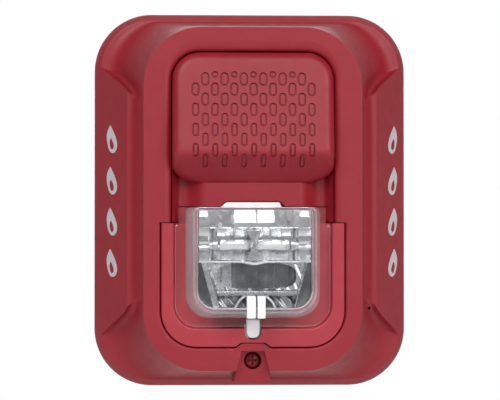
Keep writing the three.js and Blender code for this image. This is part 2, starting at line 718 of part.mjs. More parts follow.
function backCover() {
  const { back, thick, halfWidth, halfHeight, corner } = BACK_COVER;
  const sheet = slab(roundedShape(halfWidth, -halfHeight, halfHeight, corner), back, back + thick);
  const screwColumn = post(COLUMN.radius + 0.8, 0, COVER_SCREW.y, back - 1, back + 3, 16);
  const sliderSlot = box(
    -SLIDER.travel - 2.2,
    SLIDER.travel + 2.2,
    SLIDER.y - 1.9,
    SLIDER.y + 1.9,
    back - 1,
    back + 3,
  );
  const dialHole = post(DIAL.radius + 0.5, DIAL.x, DIAL.y, back - 1, back + 3, 16);
  const bladeSlots = TERMINALS.map((x) =>
    box(x - 2.2, x + 2.2, TERMINAL.blade - 1, TERMINAL.blade + 1, back - 1, back + 3),
  );
  const screwHoles = CASE_SCREWS.map(([x, y]) => post(1.6, x, y, back - 1, back + 3, 10));
  return cut(sheet, screwColumn, sliderSlot, dialHole, ...bladeSlots, ...screwHoles);
}

// A self-tapping screw that holds the back cover to a boss of the bezel.
function caseScrew([x, y]) {
  const { back } = BACK_COVER;
  const head = post(2.6, x, y, back - 1.9, back - 0.2, 14);
  const shank = post(1.1, x, y, back - 0.4, 25, 8);
  return cut(join(head, shank), crossRecess(x, y, back - 2, back - 0.9, 1.5));
}

// A cross-shaped driver recess between z0 and z1.
function crossRecess(x, y, z0, z1, reach) {
  const arm = reach * 0.3;
  return join(
    box(x - reach, x + reach, y - arm, y + arm, z0, z1),
    box(x - arm, x + arm, y - reach, y + reach, z0, z1),
  );
}

// A flat blade that plugs the head into the terminal block.
function contactBlade(x) {
  return box(x - 1.6, x + 1.6, TERMINAL.blade - 0.4, TERMINAL.blade + 0.4, 8, BOARD.back - CLEAR);
}

function dialHousing() {
  const { x, y, radius, back, housingHalf } = DIAL;
  const coverFront = BACK_COVER.back + BACK_COVER.thick;
  return cut(
    box(x - housingHalf, x + housingHalf, y - housingHalf, y + housingHalf, coverFront + 0.2, BOARD.back - 0.2),
    post(radius - 0.4, x, y, back - 2, BOARD.back - 0.8, 16),
  );
}

function toneDial() {
  const { x, y, radius, back } = DIAL;
  const knob = join(post(radius, x, y, back, 16.6, 16), post(radius - 0.9, x, y, 16, 17.9, 16));
  return cut(knob, box(x - radius - 1, x + radius + 1, y - 0.5, y + 0.5, back - 1, back + 1.2));
}

// A strip seen through the lens tab, with a stem through the back cover to a thumb nub.
function candelaSlider() {
  const { y, halfStrip, stripHeight, front, thick, stem } = SLIDER;
  const strip = box(-halfStrip, halfStrip, y - stripHeight / 2, y + stripHeight / 2, front - thick, front);
  const shaft = box(-stem / 2, stem / 2, y - 1.4, y + 1.4, NUB.back + 1, front - thick + 0.2);
  const nub = box(-NUB.half, NUB.half, y - 1.5, y + 1.5, NUB.back + 0.4, NUB.front);
  const grips = [-1.5, 0, 1.5].map((x) => box(x - 0.3, x + 0.3, y - 1.6, y + 1.6, NUB.back, NUB.back + 0.8));
  return cut(join(strip, shaft, nub), ...grips);
}

// ---------------------------------------------------------------- captive screw

function coverScrew() {
  const { y, headRadius, shank, seat, tip, headTop } = COVER_SCREW;
  const head = post(headRadius, 0, y, seat + 0.2, headTop, 18);
  const shaft = post(shank, 0, y, tip, seat + 0.4, 12);
  const neckGroove = cut(
    post(shank + 1, 0, y, GROOVE.back, GROOVE.front, 12),
    post(shank - GROOVE.depth, 0, y, GROOVE.back - 1, GROOVE.front + 1, 12),
  );
  return cut(join(head, shaft), crossRecess(0, y, headTop - 1.6, headTop + 1, 1.9), neckGroove);
}

// The retaining ring that rides in the screw's groove and keeps it in the head.
function screwClip() {
  const { radius, back, front } = CLIP;
  return cut(
    post(radius, 0, COVER_SCREW.y, back, front, 16),
    post(COVER_SCREW.shank - 0.1, 0, COVER_SCREW.y, back - 1, front + 1, 12),
  );
}

// ---------------------------------------------------------------- wall plate and terminals

function slotHole(x, y, across) {
  const { radius, length } = BOX_SLOT;
  const [width, height] = across ? [length, 2 * radius] : [2 * radius, length];
  const outline = roundedShape(width / 2, -height / 2, height / 2, radius * 0.98);
  return slab(outline, -1, PLATE.thick + 1, 3).translate([x, y, 0]);
}

// The hole for the field wiring and the low rim round it.
function wireHole() {
  const { halfWidth, top, bottom, corner } = WIRE_HOLE;
  return slab(roundedShape(halfWidth, bottom, top, corner), -1, PLATE.rim, 4);
}

function wireRim() {
  const { halfWidth, top, bottom, corner, wall } = WIRE_HOLE;
  const outline = roundedShape(halfWidth + wall, bottom - wall, top + wall, corner + 1);
  return slab(outline, PLATE.thick - 0.4, PLATE.thick + wall, 4);
}

// The hollow post on the plate that holds the threaded insert.
function insertBoss() {
  return cut(
    post(4.8, 0, COVER_SCREW.y, PLATE.thick - 0.4, INSERT.front - 0.1, 16),
    post(INSERT.radius + 0.2, 0, COVER_SCREW.y, 5, INSERT.front + 1, 14),
    post(2.4, 0, COVER_SCREW.y, 3.4, 6, 12),
  );
}

function mountingPlate() {
  const { halfWidth, top, bottom, corner, thick, rim, rimWall } = PLATE;
  const sheet = slab(roundedShape(halfWidth, bottom, top, corner), 0, thick);
  const rimBand = cut(
    slab(roundedShape(halfWidth, bottom, top, corner), thick - 0.4, rim),
    slab(roundedShape(halfWidth - rimWall, bottom + rimWall, top - rimWall, corner - rimWall), thick - 1, rim + 1),
  );
  const slots = SIDES.flatMap((up) => {
    const y = (up * BOX_SLOT.spacingY) / 2;
    return [slotHole(0, y, false), ...SIDES.map((side) => slotHole((side * BOX_SLOT.spacingX) / 2, y, true))];
  });
  const gapHalf = CATCH.half + 0.6;
  const catchGaps = SIDES.map((side) =>
    box(side * PIVOT.x - gapHalf, side * PIVOT.x + gapHalf, top - 3, top + 4, -1, rim + 1),
  );
  const whole = cut(join(sheet, rimBand, wireRim(), insertBoss()), wireHole(), ...slots, ...catchGaps);
  return join(whole, ...SIDES.map((side) => pivotPin(side * PIVOT.x)));
}

// A pin between two cheeks, on which one catch of the head hangs.
function pivotPin(x) {
  const { y, z, radius, halfPin, cheek } = PIVOT;
  const pin = bar(radius, x - halfPin, x + halfPin, y, z, 12);
  const cheeks = SIDES.map((side) => {
    const [a, b] = [x + side * (halfPin - cheek + 0.6), x + side * (halfPin + 0.6)].sort((p, q) => p - q);
    return rib(
      [
        [PLATE.top - 3.4, 0],
        [y + 0.6, 0.6],
        [y + 1.7, z - 0.6],
        [y + 1.2, z + 1.4],
        [y - 1.2, z + 1.7],
        [PLATE.top - 3.4, 3],
      ],
      a,
      b,
    );
  });
  return join(pin, ...cheeks);
}

function threadedInsert() {
  const { radius, bore, back, front } = INSERT;
  const hole = post(bore, 0, COVER_SCREW.y, back - 1, front + 1, 12);
  return cut(post(radius, 0, COVER_SCREW.y, back, front, 14), hole);
}

function terminalBlock() {
  const { halfWidth, bottom, top, back, front } = BLOCK;
  const body = box(-halfWidth, halfWidth, bottom, top, back, front);
  const bays = TERMINALS.map((x) => box(x - 4.4, x + 4.4, bottom - 1, 11.2, TERMINAL.floor - 1.2, front + 1));
  const sockets = TERMINALS.map((x) =>
    box(x - 2.1, x + 2.1, TERMINAL.blade - 0.8, TERMINAL.blade + 2.4, 6.8, front + 1),
  );
  return cut(body, ...bays, ...sockets);
}

// The brass strip on a bay's floor, tapped for the terminal screw.
function terminalStrip(x) {
  const plate = box(x - 4, x + 4, 2.6, 10.8, TERMINAL.floor - 1, TERMINAL.floor);
  return cut(plate, post(1.9, x, TERMINAL.y, TERMINAL.floor - 2, TERMINAL.floor + 1, 10));
}

// The square plate under a terminal screw's head, which clamps the wire.
function clampPlate(x) {
  const [z0, z1] = [TERMINAL.floor + 0.3, TERMINAL.floor + 1.3];
  return cut(box(x - 3.6, x + 3.6, 3, 10.2, z0, z1), post(1.85, x, TERMINAL.y, z0 - 1, z1 + 1, 10));
}

function terminalScrew(x) {
  const { y, floor, screwHead, screwShank, headHeight } = TERMINAL;
  const seat = floor + 1.5;
  const top = seat + headHeight;
  const head = post(screwHead, x, y, seat, top, 16);
  const shank = post(screwShank, x, y, BLOCK.back + 1.9, seat + 0.2, 10);
  const saw = box(x - screwHead - 0.3, x + screwHead + 0.3, y - 0.35, y + 0.35, top - 0.7, top + 1);
  return cut(join(head, shank), crossRecess(x, y, top - 1.1, top + 1, 1.7), saw);
}

// The bent strip that links the two middle terminals while the head is off.
function shortingSpring() {
  return rib(
    [
      [17.4, 3],
      [17.9, 3],
      [17.9, 12.4],
      [15, 12.4],
      [15, 11.9],
      [17.4, 11.9],
    ],
    -8,
    8,
  );
}

// ---------------------------------------------------------------- assembly

const finish = (color, roughness, metalness = 0, extra = {}) =>
  new THREE.MeshStandardMaterial({ color, roughness, metalness, ...extra });

const red = finish(0xa5222e, 0.5);
const paintedScrew = finish(0x8f1a25, 0.45);
const white = finish(0xe4e4e0, 0.5);
const black = finish(0x232326, 0.5);
const clear = finish(0xf2f6f8, 0.05, 0, { transparent: true, opacity: 0.35 });
const mirror = finish(0xd9dcdf, 0.08, 1);
const steel = finish(0xb9bcc0, 0.3, 1);
const brass = finish(0xb08a45, 0.3, 1);
const ceramic = finish(0xe9e4d6, 0.6);
const board = finish(0x1f5a35, 0.6);
const sleeve = finish(0x20263a, 0.4);
const ferrite = finish(0x3a3836, 0.6);
const copper = finish(0xa8582c, 0.4, 1);

const device = new THREE.Group();
device.rotation.x = Math.PI / 2;

function place(parent, name, manifold, material) {
  const mesh = new THREE.Mesh(geometryOf(manifold), material);
  mesh.name = name;
  parent.add(mesh);
}

const wallSide = new THREE.Group();
place(wallSide, "mounting_plate", mountingPlate(), white);
place(wallSide, "threaded_insert", threadedInsert(), brass);
place(wallSide, "terminal_block", terminalBlock(), black);
place(wallSide, "shorting_spring", shortingSpring(), brass);
TERMINALS.forEach((x, i) => {
  place(wallSide, `terminal_strip_${i + 1}`, terminalStrip(x), brass);
  place(wallSide, `clamp_plate_${i + 1}`, clampPlate(x), steel);
  place(wallSide, `terminal_screw_${i + 1}`, terminalScrew(x), steel);
});

const head = new THREE.Group();
place(head, "bezel", bezel(), red);
place(head, "horn_cover", hornCover(), red);
place(head, "strobe_surround", strobeSurround(), red);
place(head, "strobe_lens", strobeLens(), clear);
place(head, "reflector", reflector(), mirror);
place(head, "flash_tube", flashTube(), clear);
place(head, "tube_electrode_left", tubeElectrode(-1), steel);
place(head, "tube_electrode_right", tubeElectrode(1), steel);
place(head, "trigger_band", triggerBand(), steel);
place(head, "grille_baffle", grilleBaffle(), red);
place(head, "sound_chamber", soundChamber(), black);
place(head, "piezo_disc", piezoDisc(), brass);
place(head, "piezo_ceramic", piezoCeramic(), ceramic);
place(head, "circuit_board", circuitBoard(), board);
place(head, "flash_capacitor", flashCapacitor(), sleeve);
place(head, "transformer_core", transformerCore(), ferrite);
place(head, "transformer_coil", transformerCoil(), copper);
place(head, "trigger_coil", triggerCoil(), copper);
place(head, "inductor", inductor(), ferrite);
place(head, "microcontroller", microcontroller(), black);
place(head, "back_cover", backCover(), black);
place(head, "dial_housing", dialHousing(), black);
TERMINALS.forEach((x, i) => place(head, `contact_blade_${i + 1}`, contactBlade(x), brass));
CASE_SCREWS.forEach((at, i) => place(head, `case_screw_${i + 1}`, caseScrew(at), steel));

const controls = new THREE.Group();
place(controls, "tone_dial", toneDial(), white);
place(controls, "candela_slider", candelaSlider(), white);
place(controls, "cover_screw", coverScrew(), paintedScrew);
place(controls, "screw_clip", screwClip(), steel);
head.add(controls);

device.add(wallSide, head);
export default device;
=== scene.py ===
"""The looks of a wall-mounted fire alarm horn strobe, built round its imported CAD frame.

Shapes are worked out in millimetres in the device's face frame: x to the right, y up, z out of the wall.
to_world() turns that frame into the scene's metres, where the device faces -Y and +Z is up.
"""

import json
import math

import bpy
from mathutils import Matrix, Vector

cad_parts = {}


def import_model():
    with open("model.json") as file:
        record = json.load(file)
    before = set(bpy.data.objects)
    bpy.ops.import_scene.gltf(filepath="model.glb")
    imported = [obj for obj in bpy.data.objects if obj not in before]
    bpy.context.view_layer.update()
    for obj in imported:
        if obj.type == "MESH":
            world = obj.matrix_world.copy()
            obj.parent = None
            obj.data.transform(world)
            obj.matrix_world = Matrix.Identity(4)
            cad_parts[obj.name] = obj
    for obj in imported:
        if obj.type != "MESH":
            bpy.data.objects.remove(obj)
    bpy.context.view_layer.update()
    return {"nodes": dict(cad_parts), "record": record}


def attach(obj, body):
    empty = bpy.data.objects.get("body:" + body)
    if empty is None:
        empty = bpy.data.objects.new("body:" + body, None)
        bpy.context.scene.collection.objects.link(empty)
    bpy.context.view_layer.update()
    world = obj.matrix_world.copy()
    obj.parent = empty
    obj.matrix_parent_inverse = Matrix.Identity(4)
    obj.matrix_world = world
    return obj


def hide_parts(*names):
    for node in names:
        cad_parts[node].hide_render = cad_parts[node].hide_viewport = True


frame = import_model()

MM = 0.001
TAU = 2 * math.pi
QUARTER = TAU / 4

# ---- sizes, in millimetres

BODY = {"half_w": 59.7, "half_h": 71.3, "corner": 22.0, "back": 1.8, "skirt": 5.2, "front": 32.0}
PLATEAU = {"half_w": 41.2, "half_h": 64.6, "corner": 22.0}
RIM = {"narrow": 2.6, "wide": 12.5, "foot": 6.0, "slope": 1.45}
RIM_TOP = (41.0, 51.0)  # the wide side panel narrows between these heights
RIM_BOTTOM = (41.0, 52.5)
SIDE_FADE_TOP = (26.0, 60.0)  # the scoop changes from the sides' section to the ends' between these
SIDE_FADE_BOTTOM = (29.0, 64.0)
WALL = 2.4
COLLAR = {"half_w": 32.3, "bottom": -7.0, "top": 57.0, "corner": 12.0, "back": 24.0, "front": 30.5}
CASE_SCREWS = [(-32.2, 55.6), (32.2, 55.6), (-36.5, -50.0), (36.5, -50.0)]
BOSS = {"radius": 3.0, "back": 17.1, "front": 30.4}
COLUMN = {"radius": 5.2, "back": 13.2, "front": 29.0}
CLIP_POCKET = {"radius": 3.7, "back": 12.0, "front": 20.8}
PINHOLE = {"x": 44.6, "y": -41.3, "radius": 0.6}
PIVOT = {"y": 65.5, "z": 4.2, "inner": 1.6, "outer": 2.9, "x": 22.0, "half": 2.6}
RECESS = {"top": -56.7, "bottom": -70.0, "top_half": 3.9, "bottom_half": 7.3, "top_z": 29.6, "bottom_z": 27.2}
PAD = {"top": -55.4, "bottom": -64.6, "top_half": 5.3, "bottom_half": 8.8, "back": 24.5, "front": 31.0}
MARK_INSET = {1: 5.1, -1: 6.6}  # how far the marks lie inside the outline, right and left
MARK_HEIGHTS = (22.9, 7.1, -8.5, -24.2)
MARK = {"half_w": 3.9, "half_h": 5.3}
HORN = {
    "half_w": 30.3, "bottom": 5.5, "top": 55.0, "top_r": 10.3, "foot_w": 14.0, "foot_h": 7.0, "back": 21.2,
}
HORN_HOLE = {"half_w": 30.6, "bottom": -9.0, "top": 55.4, "top_r": 10.5, "roll_z": 30.1}
HORN_ROLL = {"side": 2.6, "top": 4.4, "corner": 3.2, "depth": 1.9}  # how far the opening's edge rolls out
HORN_FACE = {"chin": 16.6, "chin_z": 40.2, "top_z": 34.2, "foot_z": 28.6, "blend": 1.4, "edge": 3.4}
NECK = {"face": 29.0, "flat": 17.6, "valley": 25.8, "rise": 27.4, "drop": 4.4, "bottom": -3.0, "top": 15.0}
EAR = {"inner": 28.0, "bottom": -8.9, "front": 31.6}
SURROUND = {"half_w": 34.4, "bottom": -55.6, "top": -9.2, "corner": 13.3, "face": 32.3, "floor": 1.8}
SURROUND_HOLE = {"half_w": 34.7, "bottom": -55.9, "top": -8.9, "corner": 13.6, "roll_z": 30.9, "roll": 1.1}
SQUARE = 0.05  # the radius of a corner that is left square
WELL = {"half_w": 29.7, "bottom": -48.6, "corner": 8.8, "floor": 28.3}
TAB = {"half_w": 2.6, "bottom": -52.4, "top": -45.2, "corner": 2.3, "gap": 0.5}
TONGUE = {"foot": 6.3, "tip": 4.1, "top": -54.3}
SCREW = {"y": -60.8, "bore": 2.1, "hole": 3.35, "head": 2.9, "seat": 24.2, "top": 26.8}
LENS = {"front": 49.0, "wall": 1.3, "base_z": 28.6, "flange_z": 30.4}
LENS_BASE = {"half_w": 25.5, "bottom": -45.0, "top": -3.2, "top_r": 2.0, "bottom_r": 8.8}
LENS_FRONT = {"half_w": 22.7, "bottom": -42.3, "top": -3.4, "top_r": 2.0, "bottom_r": 8.2}
REFLECTOR = {"half_w": 21.3, "bottom": -42.1, "top": -4.4, "corner": 7.0, "back": 31.4}
BARS = {"bottom": -44.6, "top": -36.2, "back": 40.8, "sides": ((-3.0, 0.3), (0.9, 3.9))}
TUBE = {"y": -17.4, "z": 39.5}
SLOT = {"w": 2.45, "h": 5.0, "pitch_x": 7.24, "depth": 0.75, "gap": 0.58}


# ---- mesh helpers

def to_world(point):
    x, y, z = point
    return Vector((x * MM, -z * MM, y * MM))


def add_to_scene(obj):
    bpy.context.scene.collection.objects.link(obj)


def mesh_object(name, points, faces):
    """A new mesh object from points in millimetres in the face frame."""
    mesh = bpy.data.meshes.new(name)
    mesh.from_pydata([to_world(p) for p in points], [], faces)
    mesh.validate()
    obj = bpy.data.objects.new(name, mesh)
    add_to_scene(obj)
    return obj


def bake_modifiers(obj):
    """Replaces the object's mesh with the result of its modifiers."""
    graph = bpy.context.evaluated_depsgraph_get()
    done = bpy.data.meshes.new_from_object(obj.evaluated_get(graph))
    obj.modifiers.clear()
    old = obj.data
    obj.data = done
    bpy.data.meshes.remove(old)


def boolean(obj, others, operation):
    """Cuts or joins other objects into obj, and removes them."""
    for other in others:
        step = obj.modifiers.new("cut", "BOOLEAN")
        step.operation = operation
        step.object = other
        step.solver = "MANIFOLD"
    bake_modifiers(obj)
    for other in others:
        bpy.data.objects.remove(other)
    return obj


def cut(obj, *others):
    return boolean(obj, others, "DIFFERENCE")


def join(obj, *others):
    return boolean(obj, others, "UNION")


def round_edges(obj, width, segments=3, angle=28):
    """Rounds every edge sharper than the angle, by a width in millimetres."""
    step = obj.modifiers.new("round", "BEVEL")
    step.width = width * MM
    step.segments = segments
    step.limit_method = "ANGLE"
    step.angle_limit = math.radians(angle)
    step.miter_outer = "MITER_ARC"
    step.use_clamp_overlap = True
    bake_modifiers(obj)
    return obj


def smooth(obj, angle=32):
    """Smooth shading that stays crisp at edges sharper than the angle."""
    for face in obj.data.polygons:
        face.use_smooth = True
    obj.data.set_sharp_from_angle(angle=math.radians(angle))
    step = obj.modifiers.new("normals", "WEIGHTED_NORMAL")
    step.keep_sharp = True
    step.weight = 80
    return obj


def piece(obj, material, body, replaces=(), angle=32):
    """Gives a finished mesh its material, its body and the CAD nodes that it stands for."""
    obj.data.materials.clear()
    obj.data.materials.append(material)
    smooth(obj, angle)
    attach(obj, body)
    if replaces:
        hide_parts(*replaces)
    return obj


def rounded_ring(half_w, bottom, top, top_r, bottom_r, z, steps=10):
    """The points of a rounded rectangle, anticlockwise from its right side's top."""
    corners = [
        (half_w - top_r, top - top_r, top_r, 0),
        (top_r - half_w, top - top_r, top_r, 1),
        (bottom_r - half_w, bottom + bottom_r, bottom_r, 2),
        (half_w - bottom_r, bottom + bottom_r, bottom_r, 3),
    ]
    points = []
    for cx, cy, radius, quarter in corners:
        for i in range(steps + 1):
            angle = (quarter + i / steps) * QUARTER
            points.append((cx + radius * math.cos(angle), cy + radius * math.sin(angle), z))
    return points


def circle_ring(radius, cx, cy, z, steps=32):
    angles = [TAU * i / steps for i in range(steps)]
    return [(cx + radius * math.cos(angle), cy + radius * math.sin(angle), z) for angle in angles]


def loft(name, rings, looped=False):
    """The skin through rings of equal length, capped at both ends, or looped from the last to the first."""
    count = len(rings[0])
    points = [p for ring in rings for p in ring]
    faces = []
    for k in range(len(rings) if looped else len(rings) - 1):
        low, high = k * count, (k + 1) % len(rings) * count
        for i in range(count):
            j = (i + 1) % count
            faces.append((low + i, low + j, high + j, high + i))
    if not looped:
        faces.append(tuple(reversed(range(count))))
        faces.append(tuple(range((len(rings) - 1) * count, len(rings) * count)))
    return mesh_object(name, points, faces)


def relief(name, rows, half_width, columns, height, back):
    """A block whose front is the surface height(x, y), sampled in rows of falling y."""
    rings = []
    for y in rows:
        w = half_width(y)
        rings.append([(w, y, back)] + [(x, y, height(x, y)) for x in columns(w)] + [(-w, y, back)])
    return loft(name, rings)


def prism(name, outline, z0, z1):
    """A flat outline in (x, y) given thickness from z0 to z1."""
    return loft(name, [[(x, y, z0) for x, y in outline], [(x, y, z1) for x, y in outline]])


def rib(name, outline, x0, x1):
    """An outline in (y, z) given thickness from x0 to x1."""
    return loft(name, [[(x0, y, z) for y, z in outline], [(x1, y, z) for y, z in outline]])


def cuboid(name, x0, x1, y0, y1, z0, z1):
    return prism(name, [(x1, y0), (x1, y1), (x0, y1), (x0, y0)], z0, z1)


def post(name, radius, cx, cy, z0, z1, steps=32):
    return loft(name, [circle_ring(radius, cx, cy, z0, steps), circle_ring(radius, cx, cy, z1, steps)])


def turned(name, profile, cx, cy, steps=40):
    """A solid turned about an axis out of the wall, from (radius, z) pairs with z rising."""
    return loft(name, [circle_ring(max(r, 0.02), cx, cy, z, steps) for r, z in profile])


def turned_across(name, profile, cy, cz, steps=28):
    """A solid turned about an axis along x, from (radius, x) pairs with x rising."""
    rings = []
    for radius, x in profile:
        ring = circle_ring(max(radius, 0.02), cy, cz, x, steps)
        rings.append([(along, y, z) for y, z, along in ring])
    return loft(name, rings)


def mirrored_pair(make):
    """Two copies of a shape, made for the right (+1) and the left (-1)."""
    return [make(1), make(-1)]


def quarter_turn(steps, first=0):
    """Pairs of 1 - cos and sin over a quarter turn, for a rounded edge."""
    angles = [i / steps * QUARTER for i in range(first, steps + 1)]
    return [(1 - math.cos(angle), math.sin(angle)) for angle in angles]


def ease(t):
    t = min(max(t, 0.0), 1.0)
    return t * t * (3 - 2 * t)


# ---- materials

def new_material(name):
    material = bpy.data.materials.new(name)
    material.use_nodes = True
    tree = material.node_tree
    shader = tree.nodes["Principled BSDF"]
    return material, tree, shader


def new_node(tree, kind):
    return tree.nodes.new("ShaderNode" + kind)


def set_inputs(node, values):
    for name, value in values.items():
        node.inputs[name].default_value = value


def noise(tree, scale, detail=3.0, roughness=0.5):
    """A noise texture in object space, so that its scale is in features per metre."""
    place = new_node(tree, "TexCoord")
    texture = new_node(tree, "TexNoise")
    set_inputs(texture, {"Scale": scale, "Detail": detail, "Roughness": roughness})
    tree.links.new(place.outputs["Object"], texture.inputs["Vector"])
    return texture.outputs["Fac"]


def spread(tree, value, low, high):
    """Maps a noise value's usual span onto low to high."""
    step = new_node(tree, "MapRange")
    set_inputs(step, {"From Min": 0.3, "From Max": 0.7, "To Min": low, "To Max": high})
    tree.links.new(value, step.inputs["Value"])
    return step.outputs["Result"]


def two_tone(tree, value, first, second):
    ramp = new_node(tree, "ValToRGB")
    for band, place, color in zip(ramp.color_ramp.elements, (0.3, 0.7), (first, second)):
        band.position = place
        band.color = (*color, 1)
    tree.links.new(value, ramp.inputs["Fac"])
    return ramp.outputs["Color"]


def bump(tree, shader, height, distance, strength=1.0):
    step = new_node(tree, "Bump")
    set_inputs(step, {"Strength": strength, "Distance": distance})
    tree.links.new(height, step.inputs["Height"])
    tree.links.new(step.outputs["Normal"], shader.inputs["Normal"])
    return step


def moulded(name, color, tint, rough, grain=2600.0, depth=0.00004, specular=0.5):
    """Injection moulded plastic: faint cloudy colour, a fine spark-eroded grain and uneven gloss."""
    material, tree, shader = new_material(name)
    cloud = noise(tree, 55.0, 4.0)
    tree.links.new(two_tone(tree, cloud, color, tint), shader.inputs["Base Color"])
    tree.links.new(spread(tree, noise(tree, 240.0, 5.0), rough[0], rough[1]), shader.inputs["Roughness"])
    shader.inputs["Specular IOR Level"].default_value = specular
    bump(tree, shader, noise(tree, grain, 2.0, 0.6), depth, 0.5)
    return material


def metal(name, color, tint, rough, grain=900.0, depth=0.00002):
    """Plated or drawn metal with a slightly uneven surface."""
    material, tree, shader = new_material(name)
    shader.inputs["Metallic"].default_value = 1.0
    tree.links.new(two_tone(tree, noise(tree, 180.0, 4.0), color, tint), shader.inputs["Base Color"])
    tree.links.new(spread(tree, noise(tree, 420.0, 4.0), rough[0], rough[1]), shader.inputs["Roughness"])
    bump(tree, shader, noise(tree, grain, 3.0), depth, 0.4)
    return material


def let_light_past(tree, shader):
    """Makes a clear material cast almost no shadow, so that what lies behind it stays lit."""
    rays = new_node(tree, "LightPath")
    past = new_node(tree, "BsdfTransparent")
    past.inputs["Color"].default_value = (0.97, 0.97, 0.97, 1)
    mix = new_node(tree, "MixShader")
    tree.links.new(rays.outputs["Is Shadow Ray"], mix.inputs["Fac"])
    tree.links.new(shader.outputs["BSDF"], mix.inputs[1])
    tree.links.new(past.outputs["BSDF"], mix.inputs[2])
    tree.links.new(mix.outputs["Shader"], tree.nodes["Material Output"].inputs["Surface"])


def clear_plastic(name, tint, ripple, rough=0.02, ior=1.49):
    """Clear plastic or glass."""
    material, tree, shader = new_material(name)
    set_inputs(shader, {"Base Color": (*tint, 1), "Transmission Weight": 1.0, "IOR": ior, "Roughness": rough})
    bump(tree, shader, noise(tree, 160.0, 2.0), ripple, 0.5)
    let_light_past(tree, shader)
    return material


def pale_clear_plastic(name, tint, rough, through):
    """Clear plastic seen edge on, made pale and partly opaque so that it lets some colour through; on the
    lens's side walls and rim the pale colour is a painted reflection of the bright band that the clear walls
    show edge on.
    """
    material, tree, shader = new_material(name)
    set_inputs(shader, {"Base Color": (*tint, 1), "Transmission Weight": through, "IOR": 1.3})
    tree.links.new(spread(tree, noise(tree, 120.0, 3.0), rough[0], rough[1]), shader.inputs["Roughness"])
    bump(tree, shader, noise(tree, 300.0, 2.0), 0.00002, 0.4)
    let_light_past(tree, shader)
    return material


RED = (0.315, 0.0105, 0.021)
RED_TINT = (0.335, 0.0125, 0.0245)

MAT = {
    "red": moulded("red_plastic", RED, RED_TINT, (0.4, 0.52), specular=0.5),
    # glossier red for the surround, its base also lighter than the bezel's: painted light for the stronger
    # light at the device's bottom
    "red_glossy_painted_light": moulded(
        "red_plastic_surround_painted_light", (0.41, 0.021, 0.036), (0.43, 0.024, 0.04), (0.36, 0.46), specular=0.65,
    ),
    # painted shade: a darker copy of the surround's red for the well floor under the lens
    "red_painted_shade": moulded("red_plastic_shaded_under_lens", (0.37, 0.02, 0.035), (0.4, 0.023, 0.039), (0.3, 0.4)),
    "mark": moulded("white_ink", (0.62, 0.56, 0.6), (0.66, 0.6, 0.63), (0.5, 0.62), 1800.0, 0.00003),
    "white": moulded("white_plastic", (0.6, 0.6, 0.58), (0.64, 0.64, 0.62), (0.42, 0.55)),
    "control": moulded("control_plastic", (0.66, 0.68, 0.7), (0.7, 0.72, 0.74), (0.3, 0.42)),
    "black": moulded("black_plastic", (0.02, 0.02, 0.022), (0.028, 0.028, 0.03), (0.4, 0.55)),
    "clear": clear_plastic("clear_polycarbonate", (0.99, 0.995, 1.0), 0.00001),
    # painted reflection: the lens's side walls and rim made pale, for the bright band that clear plastic
    # shows edge on
    "painted_edge_reflection": pale_clear_plastic("lens_edge_painted_reflection", (0.95, 0.93, 0.96), (0.1, 0.16), 0.72),
    "pipe": pale_clear_plastic("light_pipe", (0.9, 0.87, 0.9), (0.15, 0.25), 0.1),
    # painted highlight: plain white for the light pipe bars and the lens's upper edge, which show bright
    "white_painted_highlight": moulded("painted_highlight_white", (0.9, 0.91, 0.92), (0.95, 0.95, 0.95), (0.12, 0.2), 500.0, 0.00002),
    # painted reflections: tints of the reflector's one metallised film, from the painted highlight to the
    # painted dark reflection
    "pale": metal("reflector_painted_highlight", (0.86, 0.87, 0.88), (0.92, 0.92, 0.93), (0.34, 0.44), 300.0, 0.00003),
    "painted_dim_reflection": metal("reflector_painted_dim_reflection", (0.46, 0.48, 0.49), (0.6, 0.61, 0.62), (0.2, 0.34), 300.0, 0.00006),
    "glass": clear_plastic("tube_glass", (0.98, 0.98, 0.98), 0.000004, 0.01, 1.47),
    "mirror": metal(
        "metallised_reflector", (0.8, 0.81, 0.83), (0.88, 0.89, 0.9), (0.1, 0.24), 260.0, 0.00006,
    ),
    "painted_grey_reflection": metal("reflector_painted_grey_reflection", (0.33, 0.35, 0.36), (0.42, 0.43, 0.44), (0.2, 0.3), 300.0, 0.00005),
    "painted_dark_reflection": metal("reflector_painted_dark_reflection", (0.15, 0.16, 0.165), (0.27, 0.28, 0.28), (0.14, 0.26), 340.0, 0.00006),
    "steel": metal("zinc_plate", (0.58, 0.59, 0.6), (0.68, 0.68, 0.67), (0.26, 0.4)),
    "brass": metal("brass", (0.6, 0.42, 0.17), (0.66, 0.47, 0.22), (0.24, 0.36)),
    "paint": moulded("painted_screw", (0.22, 0.008, 0.014), (0.25, 0.01, 0.018), (0.3, 0.42), 1500.0),
    "ceramic": moulded("piezo_ceramic", (0.72, 0.69, 0.6), (0.77, 0.74, 0.66), (0.6, 0.75)),
    "board": moulded("board_laminate", (0.012, 0.1, 0.042), (0.02, 0.14, 0.06), (0.35, 0.5), 900.0),
    "sleeve": moulded("capacitor_sleeve", (0.018, 0.024, 0.06), (0.024, 0.03, 0.075), (0.22, 0.32)),
    "ferrite": moulded("ferrite", (0.05, 0.05, 0.052), (0.075, 0.074, 0.073), (0.6, 0.8), 1200.0, 0.0001),
    "copper": metal("enamelled_copper", (0.5, 0.17, 0.06), (0.6, 0.24, 0.1), (0.25, 0.4)),
}


# ---- bezel

